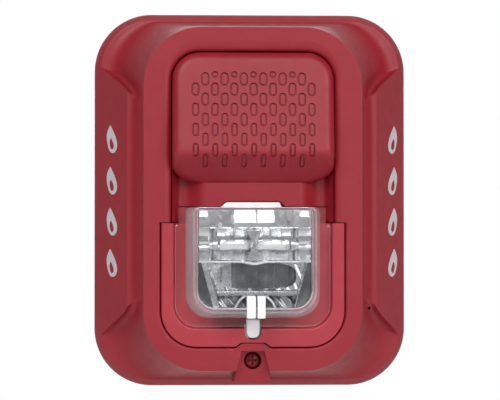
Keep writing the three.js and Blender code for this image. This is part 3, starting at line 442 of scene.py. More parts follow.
def outline_point(size, share, up):
    """A point on a quarter of a rounded rectangle and its outward normal.

    share runs from 0 at the middle of the side, over 1 and 2 at the corner's ends, to 3 at the middle
    of the top, or of the bottom when up is -1.
    """
    half_w, half_h, corner = size["half_w"], size["half_h"], size["corner"]
    flat_x, flat_y = half_w - corner, half_h - corner
    if share <= 1:
        point, normal = (half_w, flat_y * share), (1.0, 0.0)
    elif share <= 2:
        angle = (share - 1) * QUARTER
        normal = (math.cos(angle), math.sin(angle))
        point = (flat_x + corner * normal[0], flat_y + corner * normal[1])
    else:
        point, normal = (flat_x * (3 - share), half_h), (0.0, 1.0)
    return (point[0], up * point[1]), (normal[0], up * normal[1])


def quarter_shares():
    side = [i / 40 for i in range(40)]
    corner = [1 + i / 22 for i in range(22)]
    top = [2 + i / 8 for i in range(9)]
    return side + corner + top


def around(make):
    """A closed ring from make(share, up), which gives the right half, mirrored to the left."""
    shares = quarter_shares()
    top_right = [make(s, 1) for s in shares]
    bottom_right = [make(s, -1) for s in shares]
    top_left = [(-x, y, z) for x, y, z in reversed(top_right[:-1])]
    bottom_left = [(-x, y, z) for x, y, z in bottom_right[1:]]
    return top_right + top_left + bottom_left + list(reversed(bottom_right))[1:-1]


def rim_width(share, up):
    """How far the crease lies inside the outline: wide along the sides, narrow round the ends."""
    (_, y), _ = outline_point(BODY, share, 1)
    start, end = RIM_TOP if up > 0 else RIM_BOTTOM
    t = min(max((y - start) / (end - start), 0.0), 1.0)
    t = 0.55 * t + 0.45 * ease(t)
    return RIM["wide"] + (RIM["narrow"] - RIM["wide"]) * t


def crease_point(share, up, lift=0.0, shift=0.0):
    """A point of the crease between the side panel and the scoop round the plateau."""
    (x, y), (nx, ny) = outline_point(BODY, share, up)
    width = rim_width(share, up) + shift
    return (x - nx * width, y - ny * width, RIM["foot"] + RIM["slope"] * width + lift)


def sideness(share, up):
    """1 along the straight sides, falling smoothly to 0 round the ends."""
    (_, y), _ = outline_point(BODY, share, 1)
    start, end = SIDE_FADE_TOP if up > 0 else SIDE_FADE_BOTTOM
    return 1 - ease((y - start) / (end - start))


def scoop_point(share, up, v, drop=0.0):
    """A point of the scoop, v of the way from the crease to the plateau's edge."""
    cx, cy, cz = crease_point(share, up)
    (px, py), _ = outline_point(PLATEAU, share, up)
    side = sideness(share, up)
    straight = 0.2 + 0.28 * side
    power = 2.4 + 4.1 * side
    dip = (0.9 - 0.1 * side) * 6.75 * v * (1 - v) ** 2
    rise = BODY["front"] - 0.35 - cz
    z = cz + rise * (straight * v + (1 - straight) * v ** power) - dip
    return (cx + (px - cx) * v, cy + (py - cy) * v, z - drop)


def scoop_steps():
    """Shares of the scoop's width, closest where it turns up into the plateau's wall."""
    return [math.sin(i / 26 * QUARTER) ** 1.15 for i in range(1, 27)]


def flat_ring(size, inset, z):
    def make(share, up):
        (x, y), (nx, ny) = outline_point(size, share, up)
        return (x - nx * inset, y - ny * inset, z)
    return around(make)


def bezel_outside():
    rings = [
        flat_ring(BODY, 0.4, BODY["back"]),
        flat_ring(BODY, 0.1, BODY["back"] + 0.12),
        flat_ring(BODY, 0.0, BODY["back"] + 0.5),
        flat_ring(BODY, 0.0, BODY["skirt"]),
        flat_ring(BODY, 0.12, BODY["skirt"] + 0.6),
        around(lambda s, up: crease_point(s, up, 0.0, 0.5 - rim_width(s, up))),
    ]
    for share_in in (0.35, 0.7, 0.94):
        rings.append(around(lambda s, up: crease_point(s, up, 0.0, (share_in - 1) * rim_width(s, up))))
    rings.append(around(lambda s, up: crease_point(s, up, -0.02, -0.12)))
    for v in scoop_steps():
        rings.append(around(lambda s, up: scoop_point(s, up, v)))
    rings.append(flat_ring(PLATEAU, 0.1, BODY["front"] - 0.1))
    rings.append(flat_ring(PLATEAU, 0.35, BODY["front"]))
    return loft("bezel_shell", rings)


def bezel_inside():
    """The hollow: the outer surface sunk by the wall's thickness, so that it never breaks through."""
    rings = [
        flat_ring(BODY, WALL, BODY["back"] - 1),
        flat_ring(BODY, WALL, BODY["skirt"] - 0.5),
        around(lambda s, up: crease_point(s, up, -WALL, 0.6)),
    ]
    for v in scoop_steps()[4:]:
        rings.append(around(lambda s, up: scoop_point(s, up, v, WALL)))
    rings.append(flat_ring(PLATEAU, 0.8, BODY["front"] - WALL))
    return loft("inside", rings)


def horn_opening():
    """The cutter for the horn's opening, whose edge rolls in widely at the top and less at the sides."""
    hole, roll = HORN_HOLE, HORN_ROLL

    def ring(out, z):
        return rounded_ring(
            hole["half_w"] + roll["side"] * out, hole["bottom"], hole["top"] + roll["top"] * out,
            hole["top_r"] + roll["corner"] * out, SQUARE, z, 14)

    rings = [ring(0, 19.0), ring(0, hole["roll_z"])]
    for out, rise in quarter_turn(9, 1):
        rings.append(ring(out, hole["roll_z"] + roll["depth"] * rise))
    rings.append([(x, y, z + 1) for x, y, z in rings[-1]])
    return loft("horn_opening", rings)


def surround_opening():
    """The cutter for the strobe's opening, which leaves a tongue of the bezel above the cover screw."""
    hole = SURROUND_HOLE

    def ring(out, z):
        return rounded_ring(
            hole["half_w"] + out, hole["bottom"] - out, hole["top"], SQUARE, hole["corner"] + out, z, 14)

    rings = [ring(0, 19.0), ring(0, hole["roll_z"])]
    for out, rise in quarter_turn(4, 1):
        rings.append(ring(hole["roll"] * out, hole["roll_z"] + hole["roll"] * rise))
    rings.append([(x, y, z + 1) for x, y, z in rings[-1]])
    opening = loft("surround_opening", rings)
    foot, tip, top = TONGUE["foot"], TONGUE["tip"], TONGUE["top"]
    tongue = prism("tongue", [(foot + 2.2, -57.5), (tip, top), (-tip, top), (-foot - 2.2, -57.5)], 18, 34)
    return cut(opening, tongue)


def screw_recess():
    """The cutter for the wedge-shaped recess round the screw, which flares a little where it starts."""
    rings = []
    for flare, lift in ((0.0, 0.0), (0.25, 0.15), (0.35, 0.5), (0.35, 6.0)):
        top_half, bottom_half = RECESS["top_half"] + flare, RECESS["bottom_half"] + flare
        top, bottom = RECESS["top"] - flare, RECESS["bottom"]
        top_z, bottom_z = RECESS["top_z"] + lift, RECESS["bottom_z"] + lift
        rings.append([
            (bottom_half, bottom, bottom_z), (top_half, top, top_z),
            (-top_half, top, top_z), (-bottom_half, bottom, bottom_z),
        ])
    return loft("screw_recess", rings)


def recess_floor(y):
    """How far the recess's floor, which slopes back towards the bottom edge, stands out at a height."""
    slope = (RECESS["top_z"] - RECESS["bottom_z"]) / (RECESS["top"] - RECESS["bottom"])
    return RECESS["top_z"] + slope * (y - RECESS["top"])


def recess_ledge():
    """The lip that carries the recess's floor out past the plateau's edge, over the scoop."""
    back, edge = 12.0, 0.35
    rings = []
    for y, half_w, sunk in ((-63.4, 5.95, 0.05), (-68.8, 7.3, 0.05), (-69.2, 7.25, 0.45)):
        top = recess_floor(y) - sunk
        rings.append([
            (-half_w, y, back), (half_w, y, back), (half_w, y, top - edge), (half_w - edge, y, top),
            (-half_w + edge, y, top), (-half_w, y, top - edge),
        ])
    return loft("recess_ledge", rings)


def bezel_shell():
    """The case's front, with its openings, bosses and the two catches that it hangs from."""
    shell = bezel_outside()
    cut(shell, bezel_inside())
    collar = loft("collar", [
        rounded_ring(COLLAR["half_w"], COLLAR["bottom"], COLLAR["top"], COLLAR["corner"], SQUARE, z, 14)
        for z in (COLLAR["back"], COLLAR["front"])
    ])
    low, high = (PAD["bottom_half"], PAD["bottom"]), (PAD["top_half"], PAD["top"])
    pad = prism("pad", [low, high, (-high[0], high[1]), (-low[0], low[1])], PAD["back"], PAD["front"])
    column = post("column", COLUMN["radius"], 0, SCREW["y"], COLUMN["back"], COLUMN["front"], 40)
    bosses = [post("boss", BOSS["radius"], x, y, BOSS["back"], BOSS["front"], 24) for x, y in CASE_SCREWS]
    join(shell, collar, pad, recess_ledge(), column, *bosses)
    cut(shell, horn_opening())
    cut(shell, surround_opening())
    cut(shell, screw_recess())
    pocket = CLIP_POCKET
    bore = [(SCREW["bore"], 12.0), (SCREW["bore"], 24.0), (SCREW["hole"], 24.01), (SCREW["hole"], 34)]
    cut(
        shell,
        turned("screw_hole", bore, 0, SCREW["y"], 40),
        post("clip_pocket", pocket["radius"], 0, SCREW["y"], pocket["back"], pocket["front"], 32),
        post("pinhole", PINHOLE["radius"], PINHOLE["x"], PINHOLE["y"], 15, 34, 16),
    )
    for catch in mirrored_pair(hook_catch):
        join(shell, catch)
    return piece(shell, MAT["red"], "head", ["bezel"], 30)


def hook_catch(side):
    """A C-shaped catch that hangs the head on one pin of the wall plate, open at the bottom."""
    y, z, x = PIVOT["y"], PIVOT["z"], side * PIVOT["x"]

    def arc(radius, start, end):
        angles = [math.radians(start + (end - start) * i / 16) for i in range(17)]
        return [(y + radius * math.sin(angle), z + radius * math.cos(angle)) for angle in angles]

    outline = arc(PIVOT["outer"], -27, 198) + arc(PIVOT["inner"], 198, -27)
    hook = rib("hook", outline, x - PIVOT["half"], x + PIVOT["half"])
    arm = cuboid("arm", x - PIVOT["half"], x + PIVOT["half"], y + 2.0, 69.8, z - 0.6, z + 2.4)
    return join(hook, arm)


def marks():
    """Four plain white pictograms of a flame down each side panel, in place of lettering."""
    for side, name in ((1, "right"), (-1, "left")):
        for number, y in enumerate(MARK_HEIGHTS):
            flame = flame_mark(side, y)
            flame.name = f"flame_mark_{name}_{number + 1}"
            piece(flame, MAT["mark"], "head", (), 40)


def flame_mark(side, cy):
    """A flame outline with a hole in it, laid on the side panel."""
    outline = []
    for i in range(40):
        angle = TAU * i / 40
        up = -math.cos(angle)
        wide = MARK["half_w"] * math.sin(angle) * (1 - 0.42 * (up + 1) / 2)
        lean = 0.9 * math.sin(1.9 * up)
        outline.append((wide * (1 - max(up, 0) ** 3 * 0.6) + lean, MARK["half_h"] * up))
    core = [(0.42 * x, 0.42 * y - 1.7) for x, y in outline]
    normal = Vector((RIM["slope"], 0, 1)).normalized()
    along = Vector((-normal.z, 0, normal.x))
    inset = MARK_INSET[side]
    origin = Vector((BODY["half_w"] - inset, cy, RIM["foot"] + RIM["slope"] * inset))

    def lay(points, lift):
        result = []
        for u, v in points:
            p = origin + along * -u + Vector((0, v, 0)) + normal * lift
            result.append((side * p.x, p.y, p.z))
        return result if side > 0 else list(reversed(result))

    body = loft("flame", [lay(outline, -0.2), lay(outline, 0.1)])
    hole = loft("core", [lay(core, -0.4), lay(core, 0.5)])
    return cut(body, hole)


# ---- horn cover

def horn_top(y):
    """How far the horn stands out at a height: a face that leans forward to its chin, rounded over below."""
    chin, foot = HORN_FACE["chin"], HORN["bottom"]
    lean = (HORN_FACE["top_z"] - HORN_FACE["chin_z"]) / (HORN["top"] - chin)
    face = HORN_FACE["chin_z"] + lean * (y - chin)
    under = HORN_FACE["foot_z"] + (HORN_FACE["chin_z"] - HORN_FACE["foot_z"]) / (chin - foot) * (y - foot)
    blend = HORN_FACE["blend"]
    share = min(max(0.5 + 0.5 * (under - face) / blend, 0.0), 1.0)
    return under + (face - under) * share - blend * share * (1 - share)


def horn_edge(y):
    """The radius of the edge round the horn's front: smaller round the chin's foot."""
    return HORN_FACE["edge"] * (0.4 + 0.6 * ease((y - HORN["bottom"]) / (HORN_FACE["chin"] - HORN["bottom"])))


def horn_block(name, inset, drop, back):
    """The horn's body, or with an inset and a drop the hollow inside it."""
    half_w, top, bottom = HORN["half_w"] - inset, HORN["top"] - inset, HORN["bottom"] + 0.3 * inset
    middle = (top + bottom) / 2
    top_size = (HORN["top_r"] - inset, HORN["top_r"] - inset)
    foot_size = (HORN["foot_w"] - inset, HORN["foot_h"] - inset)

    def corner(y):
        """The width and height of the corner at a height, and how far the height lies in that corner."""
        if y > middle:
            return *top_size, y - top + top_size[1]
        return *foot_size, bottom + foot_size[1] - y

    def half_width(y):
        wide, tall, dy = corner(y)
        return half_w if dy <= 0 else half_w - wide + wide * math.sqrt(max(1 - (dy / tall) ** 2, 0))

    def columns(w):
        edge = HORN_FACE["edge"]
        right = [w - edge * inward for inward, _ in quarter_turn(7)]
        right += [(w - edge) * share for share in (0.93, 0.75, 0.5, 0.25)]
        return right + [0.0] + [-x for x in reversed(right)]

    def height(x, y):
        wide, tall, dy = corner(y)
        dx = (abs(x) - half_w + wide) / wide * tall
        inside = tall - (math.hypot(dx, dy) if dx > 0 and dy > 0 else max(dx, dy))
        if dy <= 0:
            inside = half_w - abs(x)
        edge = horn_edge(y)
        short = min(max(1 - inside / edge, 0.0), 1.0)
        return horn_top(y) - drop - edge * (1 - math.sqrt(1 - short * short))

    start, end = top - top_size[1], bottom + foot_size[1]
    upper = [start + top_size[1] * math.cos(i / 16 * QUARTER) for i in range(16)]
    lower = [end - foot_size[1] * math.sin(i / 14 * QUARTER) for i in range(1, 15)]
    count = 44
    straight = [start + (end - start) * i / count for i in range(count + 1)]
    return relief(name, upper + straight + lower, half_width, columns, height, back)


def slot_centres():
    """The grille: rows of seven slots, rows of six between them, and a short half row on top."""
    centres = []
    for row, y in enumerate((40.8, 33.2, 25.6, 18.0)):
        stretch = 1.16 - 0.1 * row
        centres += [((i - 3) * SLOT["pitch_x"], y, SLOT["w"] * stretch, SLOT["h"]) for i in range(7)]
    for row, y in enumerate((44.7, 37.0, 29.4, 21.9, 14.1)):
        stretch = 1.2 - 0.09 * row
        centres += [((i - 2.5) * SLOT["pitch_x"], y, SLOT["w"] * stretch, SLOT["h"]) for i in range(6)]
    centres += [((i - 2) * SLOT["pitch_x"], 46.4, SLOT["w"], 2.4) for i in range(5)]
    return centres


def pill(x, y, width, height, steps=8):
    """The outline of an upright slot with round ends."""
    r = min(width, height) / 2
    points = []
    for end, cy in ((0, y + height / 2 - r), (1, y - height / 2 + r)):
        for i in range(steps + 1):
            angle = math.pi * (end + i / steps)
            points.append((x + r * math.cos(angle), cy + r * math.sin(angle)))
    return points


def slot_cutter(x, y, width, height):
    """A narrow groove round a pill, which the sound comes out of."""
    gap = SLOT["gap"]
    outer = pill(x, y, width, height)
    inner = pill(x, y, width - 2 * gap, height - 2 * gap)
    wide = pill(x, y, width + 0.25, height + 0.25)
    low = SLOT["depth"]
    levels = ((outer, low), (outer, 0.12), (wide, -0.02), (wide, -1.0), (inner, -1.0), (inner, low))
    rings = [[(px, py, horn_top(py) - depth) for px, py in outline] for outline, depth in levels]
    return loft("slot", rings, looped=True)


def merged(name, objects):
    """One mesh object that holds several separate ones."""
    points, faces = [], []
    for obj in objects:
        start = len(points)
        points += [v.co.copy() for v in obj.data.vertices]
        faces += [tuple(start + i for i in face.vertices) for face in obj.data.polygons]
        bpy.data.objects.remove(obj)
    mesh = bpy.data.meshes.new(name)
    mesh.from_pydata(points, [], faces)
    whole = bpy.data.objects.new(name, mesh)
    add_to_scene(whole)
    return whole


def neck_front(x):
    """How far the neck stands out: a flat face, a valley down each side and a wall up to the ear."""
    side = abs(x)
    valley = NECK["face"] - NECK["drop"]
    if side < NECK["valley"]:
        return NECK["face"] - NECK["drop"] * ease((side - NECK["flat"]) / (NECK["valley"] - NECK["flat"]))
    wall = max(side - NECK["rise"], 0.0) / (HORN["half_w"] - NECK["rise"])
    return valley + (EAR["front"] - valley) * wall ** 1.7


def neck_block():
    """The bridge between the horn's chin and the lens, notched below for the lens's upper edge."""
    half, back, inside, wall = HORN["half_w"], HORN["back"], 23.0, 2
    front = [(half * (1 - i / 40), neck_front(half * (1 - i / 40))) for i in range(81)]
    behind = [
        (-half, back), (-half + wall, back), (-half + wall, inside),
        (half - wall, inside), (half - wall, back), (half, back),
    ]
    low = NECK["bottom"]
    rings = []
    for y, sunk in ((NECK["top"], 0.0), (low + 0.6, 0.0), (low + 0.2, 0.2), (low, 0.6)):
        rings.append([(x, y, z - sunk) for x, z in front] + [(x, y, z) for x, z in behind])
    block = loft("neck", rings)
    wide, narrow, high = 12.6, 10.1, -0.9
    outline = [(wide, low - 1), (wide, low), (narrow, high), (-narrow, high), (-wide, low), (-wide, low - 1)]
    return cut(block, prism("notch", outline, 10, 40))


def ear_block(side):
    """An ear beside the lens, which carries the neck's side wall on downwards."""
    inner, outer, low, back = EAR["inner"], HORN["half_w"], EAR["bottom"], HORN["back"]
    across = [inner + (outer - inner) * i / 8 for i in range(9)]
    rings = []
    for y, sunk in ((NECK["bottom"] + 1.4, 0.0), (low + 0.9, 0.0), (low + 0.3, 0.3), (low, 0.9)):
        profile = [(x, neck_front(x) - sunk) for x in across] + [(outer, back), (inner, back)]
        rings.append([(side * x, y, z) for x, z in profile])
    return loft("ear", rings)


def horn_cover():
    """The grille with the neck and ears below it, hollow behind."""
    body = horn_block("horn_cover_shell", 0, 0, HORN["back"])
    cut(body, horn_block("hollow", 2.2, 2.4, HORN["back"] - 1))
    apron = cuboid("apron", -HORN["half_w"] + 0.4, HORN["half_w"] - 0.4, -12.5, 4.0, 22.2, 24.0)
    join(body, neck_block(), apron, *mirrored_pair(ear_block))
    slots = merged("slots", [slot_cutter(*centre) for centre in slot_centres()])
    cut(body, slots)
    return piece(body, MAT["red"], "head", ["horn_cover"], 34)


# ---- strobe surround and lens

def surround_ring(share, z):
    """A ring of the surround: share 0 is its outer edge, 1 the edge of its well."""

    def between(outer, inner):
        return outer + (inner - outer) * share

    half_w, bottom, corner = (between(SURROUND[key], WELL[key]) for key in ("half_w", "bottom", "corner"))
    return rounded_ring(half_w, bottom, between(12.0, 8.0), 4.0, corner, z, 14)


def window_ring(z):
    """The edge of the hole in the well's floor, behind the reflector."""
    return rounded_ring(24.0, -43.4, 5.0, 3.0, 7.0, z, 14)


def strobe_surround():
    """The U-shaped frame round the lens, with rounded edges and the well that the lens's flange lies in."""
    face, floor, back = SURROUND["face"], WELL["floor"], WELL["floor"] - SURROUND["floor"]
    rings = [surround_ring(0, back)]
    for inward, rise in quarter_turn(4):
        rings.append(surround_ring(0.1 * inward, face - 0.45 * (1 - rise)))
    for fall, inward in quarter_turn(4):
        rings.append(surround_ring(1 - 0.13 * (1 - inward), face - 0.6 * fall))
    rings += [surround_ring(1, floor + 0.3), surround_ring(1.06, floor)]
    rings += [window_ring(floor), window_ring(back)]
    surround = loft("strobe_surround_frame", rings, looped=True)
    above = cuboid("above", -60, 60, SURROUND["top"], 30, 10, 50)
    tab_gap = TAB["half_w"] + TAB["gap"]
    tab_notch = loft("tab_notch", [
        rounded_ring(tab_gap, TAB["bottom"] - TAB["gap"], -47.0, 0.3, 2.9, z, 10) for z in (20.0, 36.0)])
    foot, tip, top = TONGUE["foot"] + 0.4, TONGUE["tip"] + 0.4, TONGUE["top"] + 0.35
    tongue = prism("tongue", [(foot + 2.2, -57.2), (tip, top), (-tip, top), (-foot - 2.2, -57.2)], 18, 36)
    for cutter in (above, tab_notch, tongue):
        cut(surround, cutter)
    # the surround's red is glossier and, as painted light, lighter than the bezel's
    piece(surround, MAT["red_glossy_painted_light"], "head", ["strobe_surround"], 34)
    # the well's floor under the lens gets the darker red, painted shade
    two_materials(surround, MAT["red_painted_shade"], lambda face: -face.center.y < (WELL["floor"] + 0.4) * MM)
    return surround


def lens_ring(inset, share, z, steps=14):
    """A ring of the lens: share 0 is its base, 1 its front."""
    base, front = LENS_BASE, LENS_FRONT

    def between(key):
        return base[key] + (front[key] - base[key]) * share

    return rounded_ring(
        between("half_w") - inset, between("bottom") + inset, between("top") - 0.5 * inset,
        max(between("top_r") - inset * 0.7, 0.6), max(between("bottom_r") - inset * 0.8, 1.0), z, steps)


def lens_skin(name, inset, base, front, edge):
    """The lens's outside, or with an inset its hollow, from base to front with a rounded front edge."""
    rings = [lens_ring(inset, 0, base)]
    for share in (0.3, 0.6, 0.9):
        rings.append(lens_ring(inset, share, base + (front - edge - base) * share))
    for inward, rise in quarter_turn(8, 1):
        rings.append(lens_ring(inset + edge * inward, 0.9 + 0.1 * rise, front - edge * (1 - rise)))
    return loft(name, rings)


def lens_flange(base, top):
    """The clear plate round the lens's foot, its outer edge rounded."""
    gap = 0.5
    rings = []
    for inset, z in ((0.3, base), (0.0, base + 0.3), (0.0, top - 0.4), (0.3, top - 0.12), (0.9, top)):
        rings.append(rounded_ring(
            WELL["half_w"] - gap - inset, WELL["bottom"] + gap + inset, -9.7 - inset, 0.8,
            WELL["corner"] - gap - inset, z, 14))
    return loft("flange", rings)


def two_materials(obj, second, chosen):
    """Gives the faces that chosen(face) picks a second material."""
    obj.data.materials.append(second)
    for face in obj.data.polygons:
        if chosen(face):
            face.material_index = 1


def painted_reflection_face(face):
    """Whether a face of the lens is on its side wall or on the flange's rounded rim, the faces that get the
    pale painted reflection.
    """
    x, z = abs(face.center.x) / MM, -face.center.y / MM
    wall = abs(face.normal.y) < 0.5 and LENS["flange_z"] < z < LENS["front"] - 0.6
    outermost = x > 28.2 or face.center.z < -46.8 * MM
    rim = abs(face.normal.y) < 0.93 and 30.0 < z <= LENS["flange_z"] and outermost
    return wall or rim


def strobe_lens():
    """The clear lens with its flange, and the pale pieces moulded into it; the white of the bars and of the
    upper edge is a painted highlight.
    """
    base, flange, front = LENS["base_z"], LENS["flange_z"], LENS["front"]
    body = lens_skin("strobe_lens_clear", 0, base, front, 1.0)
    upper = cuboid("upper_flange", -27.4, 27.4, -11.0, -3.4, base, flange)
    join(body, lens_flange(base, flange), upper)
    cut(body, lens_skin("hollow", LENS["wall"], base - 1, front - LENS["wall"], 0.8))
    piece(body, MAT["clear"], "head", ["strobe_lens"], 30)
    # the side walls and the flange's rim get the pale material, a painted reflection of the bright band the
    # clear walls show edge on
    two_materials(body, MAT["painted_edge_reflection"], painted_reflection_face)
    light_pipe()
    lens_lip()
    return body


def light_pipe():
    """Two pale bars and a tab below them, which bring light down to the candela window; the bars' white is a
    painted highlight.
    """
    bottom, top, back, front = BARS["bottom"], BARS["top"], BARS["back"], LENS["front"] - 1.4
    bars = [cuboid("bar", x0, x1, bottom, top, back, front) for x0, x1 in BARS["sides"]]
    for bar in bars:
        round_edges(bar, 0.35, 2)
    piece(merged("light_pipe_bars", bars), MAT["white_painted_highlight"], "head", (), 30)
    rings = []
    for inset, z in ((0.0, 29.0), (0.0, 31.2), (0.25, 31.75), (0.7, 32.0)):
        half_w, bottom, top = TAB["half_w"] - inset, TAB["bottom"] + inset, TAB["top"] - inset
        rings.append(rounded_ring(half_w, bottom, top, 0.5, TAB["corner"] - inset, z, 10))
    piece(loft("light_pipe_tab", rings), MAT["pipe"], "head", (), 30)


def lens_lip():
    """The lens's upper edge, which shows white in the notch under the horn: a painted highlight on the clear
    edge.
    """
    outline = [(10.9, -3.3), (10.0, -1.3), (-10.0, -1.3), (-12.3, -3.3)]
    lip = prism("lens_lip", outline, 28.8, 31.8)
    round_edges(lip, 0.35, 2)
    piece(lip, MAT["white_painted_highlight"], "head", (), 30)


# ---- strobe inside

def bump_curve(x, centre, width):
    return math.exp(-((x - centre) / width) ** 2)


def leg_line(y):
    """How far out the reflector's slanting side ridges stand at a height."""
    return 20.2 - 4.6 * min(max((-23.0 - y) / 17.0, 0.0), 1.0)


def roof_zone(x, y):
    """The reflector's top: two broad facets beside the middle and a small one at each end."""
    side = abs(x)
    if y > -9.1 and side < 7.6 and abs(x - 0.9) > 0.25:
        return "facet"
    if 17.2 < side < 20.4 and -6.9 < y < -4.6:
        return "facet"
    return "rib" if 12.0 < side < 13.2 else "roof"


def trough_zone(x, y):
    """The trough round the tube, with facets above the tube near its ends."""
    side = abs(x)
    if -14.0 < y < -11.4 and (10.6 < side < 13.8 or side > 16.4):
        return "facet"
    if -15.2 < y < -12.4 and 2.8 < side < 9.2:
        return "rib"
    return "trough"


def reflector_zone(x, y):
    """The name of the reflector's zone at a point."""
    side = abs(x)
    lip = -23.6 - 0.9 * bump_curve(x, 0, 3.5)
    if y > -10.9:
        return roof_zone(x, y)
    if y > lip + 0.5:
        return trough_zone(x, y)
    if y > lip - 0.4:
        return "facet" if side < 3.6 else "lip"
    if side > leg_line(y):
        return "outside"
    if side > leg_line(y) - (2.6 if x < 0 else 0.8):
        return "leg"
    if abs((x - 1.0) / 14.4) ** 3.2 + abs((y + 28.9) / 4.8) ** 3.2 < 1:
        return "bowl" if x > -8.5 else "shade"
    if y > -34.0:
        return "cheek"
    if y > -36.4:
        return "bar"
    return "arc" if 7.2 < math.hypot(x - 0.4, y + 43.0) < 8.2 else "foot"


def facet_step(x, width):
    """A run of flat facets that slope left and right in turn."""
    share = (x / width) % 2
    return share if share < 1 else 2 - share


def reflector_height(x, y):
    """How far the reflector stands out at a point: each zone has a slope, ripple or level of its own."""
    side, zone = abs(x), reflector_zone(x, y)
    if y > -10.9:
        if zone == "facet":
            return 41.6 - 0.3 * (y + 10.9)
        return 40.4 - 0.03 * (y + 10.9) + 0.2 * facet_step(x, 2.9)
    if zone == "facet" and y > -16:
        return 38.0 - 0.3 * (y + 12.7)
    if zone in ("trough", "rib"):
        ripple = 3.0 if side > 16.4 else 0.3 * facet_step(x, 3.4)
        return 34.0 + 7.8 * ((y + 17.1) / 6.2) ** 2 + ripple
    if zone in ("bowl", "shade"):
        return 36.0 + 0.02 * (y + 28.9) + 0.16 * math.sin(2.1 * x) + 0.06 * math.sin(5.3 * x + 1)
    if zone == "bar":
        return 40.2 + math.sqrt(max(1.3 ** 2 - (y + 35.2) ** 2, 0))
    if zone == "cheek":
        return 39.4 + 0.16 * (side - 9) + 0.22 * math.sin(1.9 * x + 0.8 * y)
    level = {"lip": 42.6, "facet": 43.0, "leg": 42.0, "outside": 35.5, "arc": 41.2}
    return level.get(zone, 37.2 + 0.3 * math.sin(1.4 * x + 1.1 * y))


# Tints of the one metallised reflector by zone: painted highlights and painted reflections, bright and dark,
# for what each zone reflects.
ZONE_MATERIALS = {  # zones that are left out are mirror bright
    "painted_dim_reflection": ("rib", "shade", "cheek"),
    "pale": ("facet", "lip", "arc"),
    "painted_grey_reflection": ("bar",),
    "painted_dark_reflection": ("bowl", "foot", "outside"),
}


def reflector():
    """The metallised reflector, its zones told apart by tints of its one metal that paint in the bright and
    dark reflections they show.
    """
    top, bottom, half, corner = (REFLECTOR[key] for key in ("top", "bottom", "half_w", "corner"))
    count = 124
    rows = [top + (bottom - top) * i / count for i in range(count + 1)]

    def half_width(y):
        dy = bottom + corner - y
        return half if dy <= 0 else half - corner + math.sqrt(max(corner * corner - dy * dy, 0))

    def columns(w):
        return [w * (1 - i / 56) for i in range(113)]

    block = relief("reflector_shell", rows, half_width, columns, reflector_height, REFLECTOR["back"])
    piece(block, MAT["mirror"], "head", ["reflector"], 24)
    numbers = {}
    for number, (name, zones) in enumerate(ZONE_MATERIALS.items(), 1):
        block.data.materials.append(MAT[name])
        numbers.update({zone: number for zone in zones})
    for face in block.data.polygons:
        face.material_index = numbers.get(reflector_zone(face.center.x / MM, face.center.z / MM), 0)


def strobe_parts():
    """The flash tube, its end caps with their leads, and the band round its middle."""
    glass = [(1.0, -13.0), (1.6, -12.8), (1.9, -12.2), (1.9, 12.2), (1.6, 12.8), (1.0, 13.0)]
    tube = turned_across("flash_tube_glass", glass, TUBE["y"], TUBE["z"])
    piece(tube, MAT["glass"], "head", ["flash_tube"])
    for side, name in ((1, "right"), (-1, "left")):
        profile = [(1.5, 13.3), (2.1, 13.6), (2.1, 15.4), (1.4, 15.6), (1.4, 16.6)]
        profile = sorted([(radius, side * x) for radius, x in profile], key=lambda pair: pair[1])
        cap = turned_across(f"electrode_{name}", profile, TUBE["y"], TUBE["z"])
        x = side * 15.0
        lead = cuboid("lead", x - 0.45, x + 0.45, TUBE["y"] - 0.45, TUBE["y"] + 0.45, 20.9, TUBE["z"])
        join(cap, lead)
        piece(cap, MAT["steel"], "head", [f"tube_electrode_{name}"])
    trigger_band()


def trigger_band():
    """The waisted clip round the middle of the flash tube."""
    wide, narrow, reach = 2.9, 0.7, 5.6
    front = [(wide, reach), (narrow, 0.6), (narrow, -0.6), (wide, -reach),
             (-wide, -reach), (-narrow, -0.6), (-narrow, 0.6), (-wide, reach)]
    clip = prism("trigger_clip", [(x, TUBE["y"] - y) for x, y in front], TUBE["z"] + 2.1, TUBE["z"] + 2.9)
    round_edges(clip, 0.2, 2, 40)
    piece(clip, MAT["mirror"], "head", ["trigger_band"])


# ---- captive screw and controls

def driver_recess(name, cx, cy, z0, z1, reach, arm):
    """A cross-shaped cutter that narrows towards its bottom."""
    outline = []
    for quarter in range(4):
        c, s = round(math.cos(quarter * QUARTER)), round(math.sin(quarter * QUARTER))
        for x, y in ((arm, arm), (arm, reach), (-arm, reach)):
            outline.append((cx + x * c - y * s, cy + x * s + y * c))
    ordered = []
    for x, y in outline:
        if (x, y) not in ordered:
            ordered.append((x, y))
    low = [(cx + (x - cx) * 0.6, cy + (y - cy) * 0.6, z0) for x, y in ordered]
    middle = [(x, y, z0 + (z1 - z0) * 0.5) for x, y in ordered]
    return loft(name, [low, middle, [(x, y, z1) for x, y in ordered]])


def cover_screw():
    """The captive screw: a shank with a groove for its clip, and a domed head."""
    y, r = SCREW["y"], SCREW["head"]
    shank = [(0.9, 6.0), (1.5, 6.7), (1.5, 10.9), (1.15, 12.4), (1.15, 13.4), (1.5, 13.5), (1.5, 24.1)]
    head = [(r, SCREW["seat"]), (r, 25.7), (r - 0.35, 26.35), (r - 1.0, 26.7), (0.02, SCREW["top"])]
    screw = turned("cover_screw_head", shank + head, 0, y)
    cut(screw, driver_recess("recess", 0, y, 25.0, 27.4, 1.75, 0.42))
    return piece(screw, MAT["paint"], "cover_screw", ["cover_screw"], 30)


# ---- CAD nodes that keep their shape

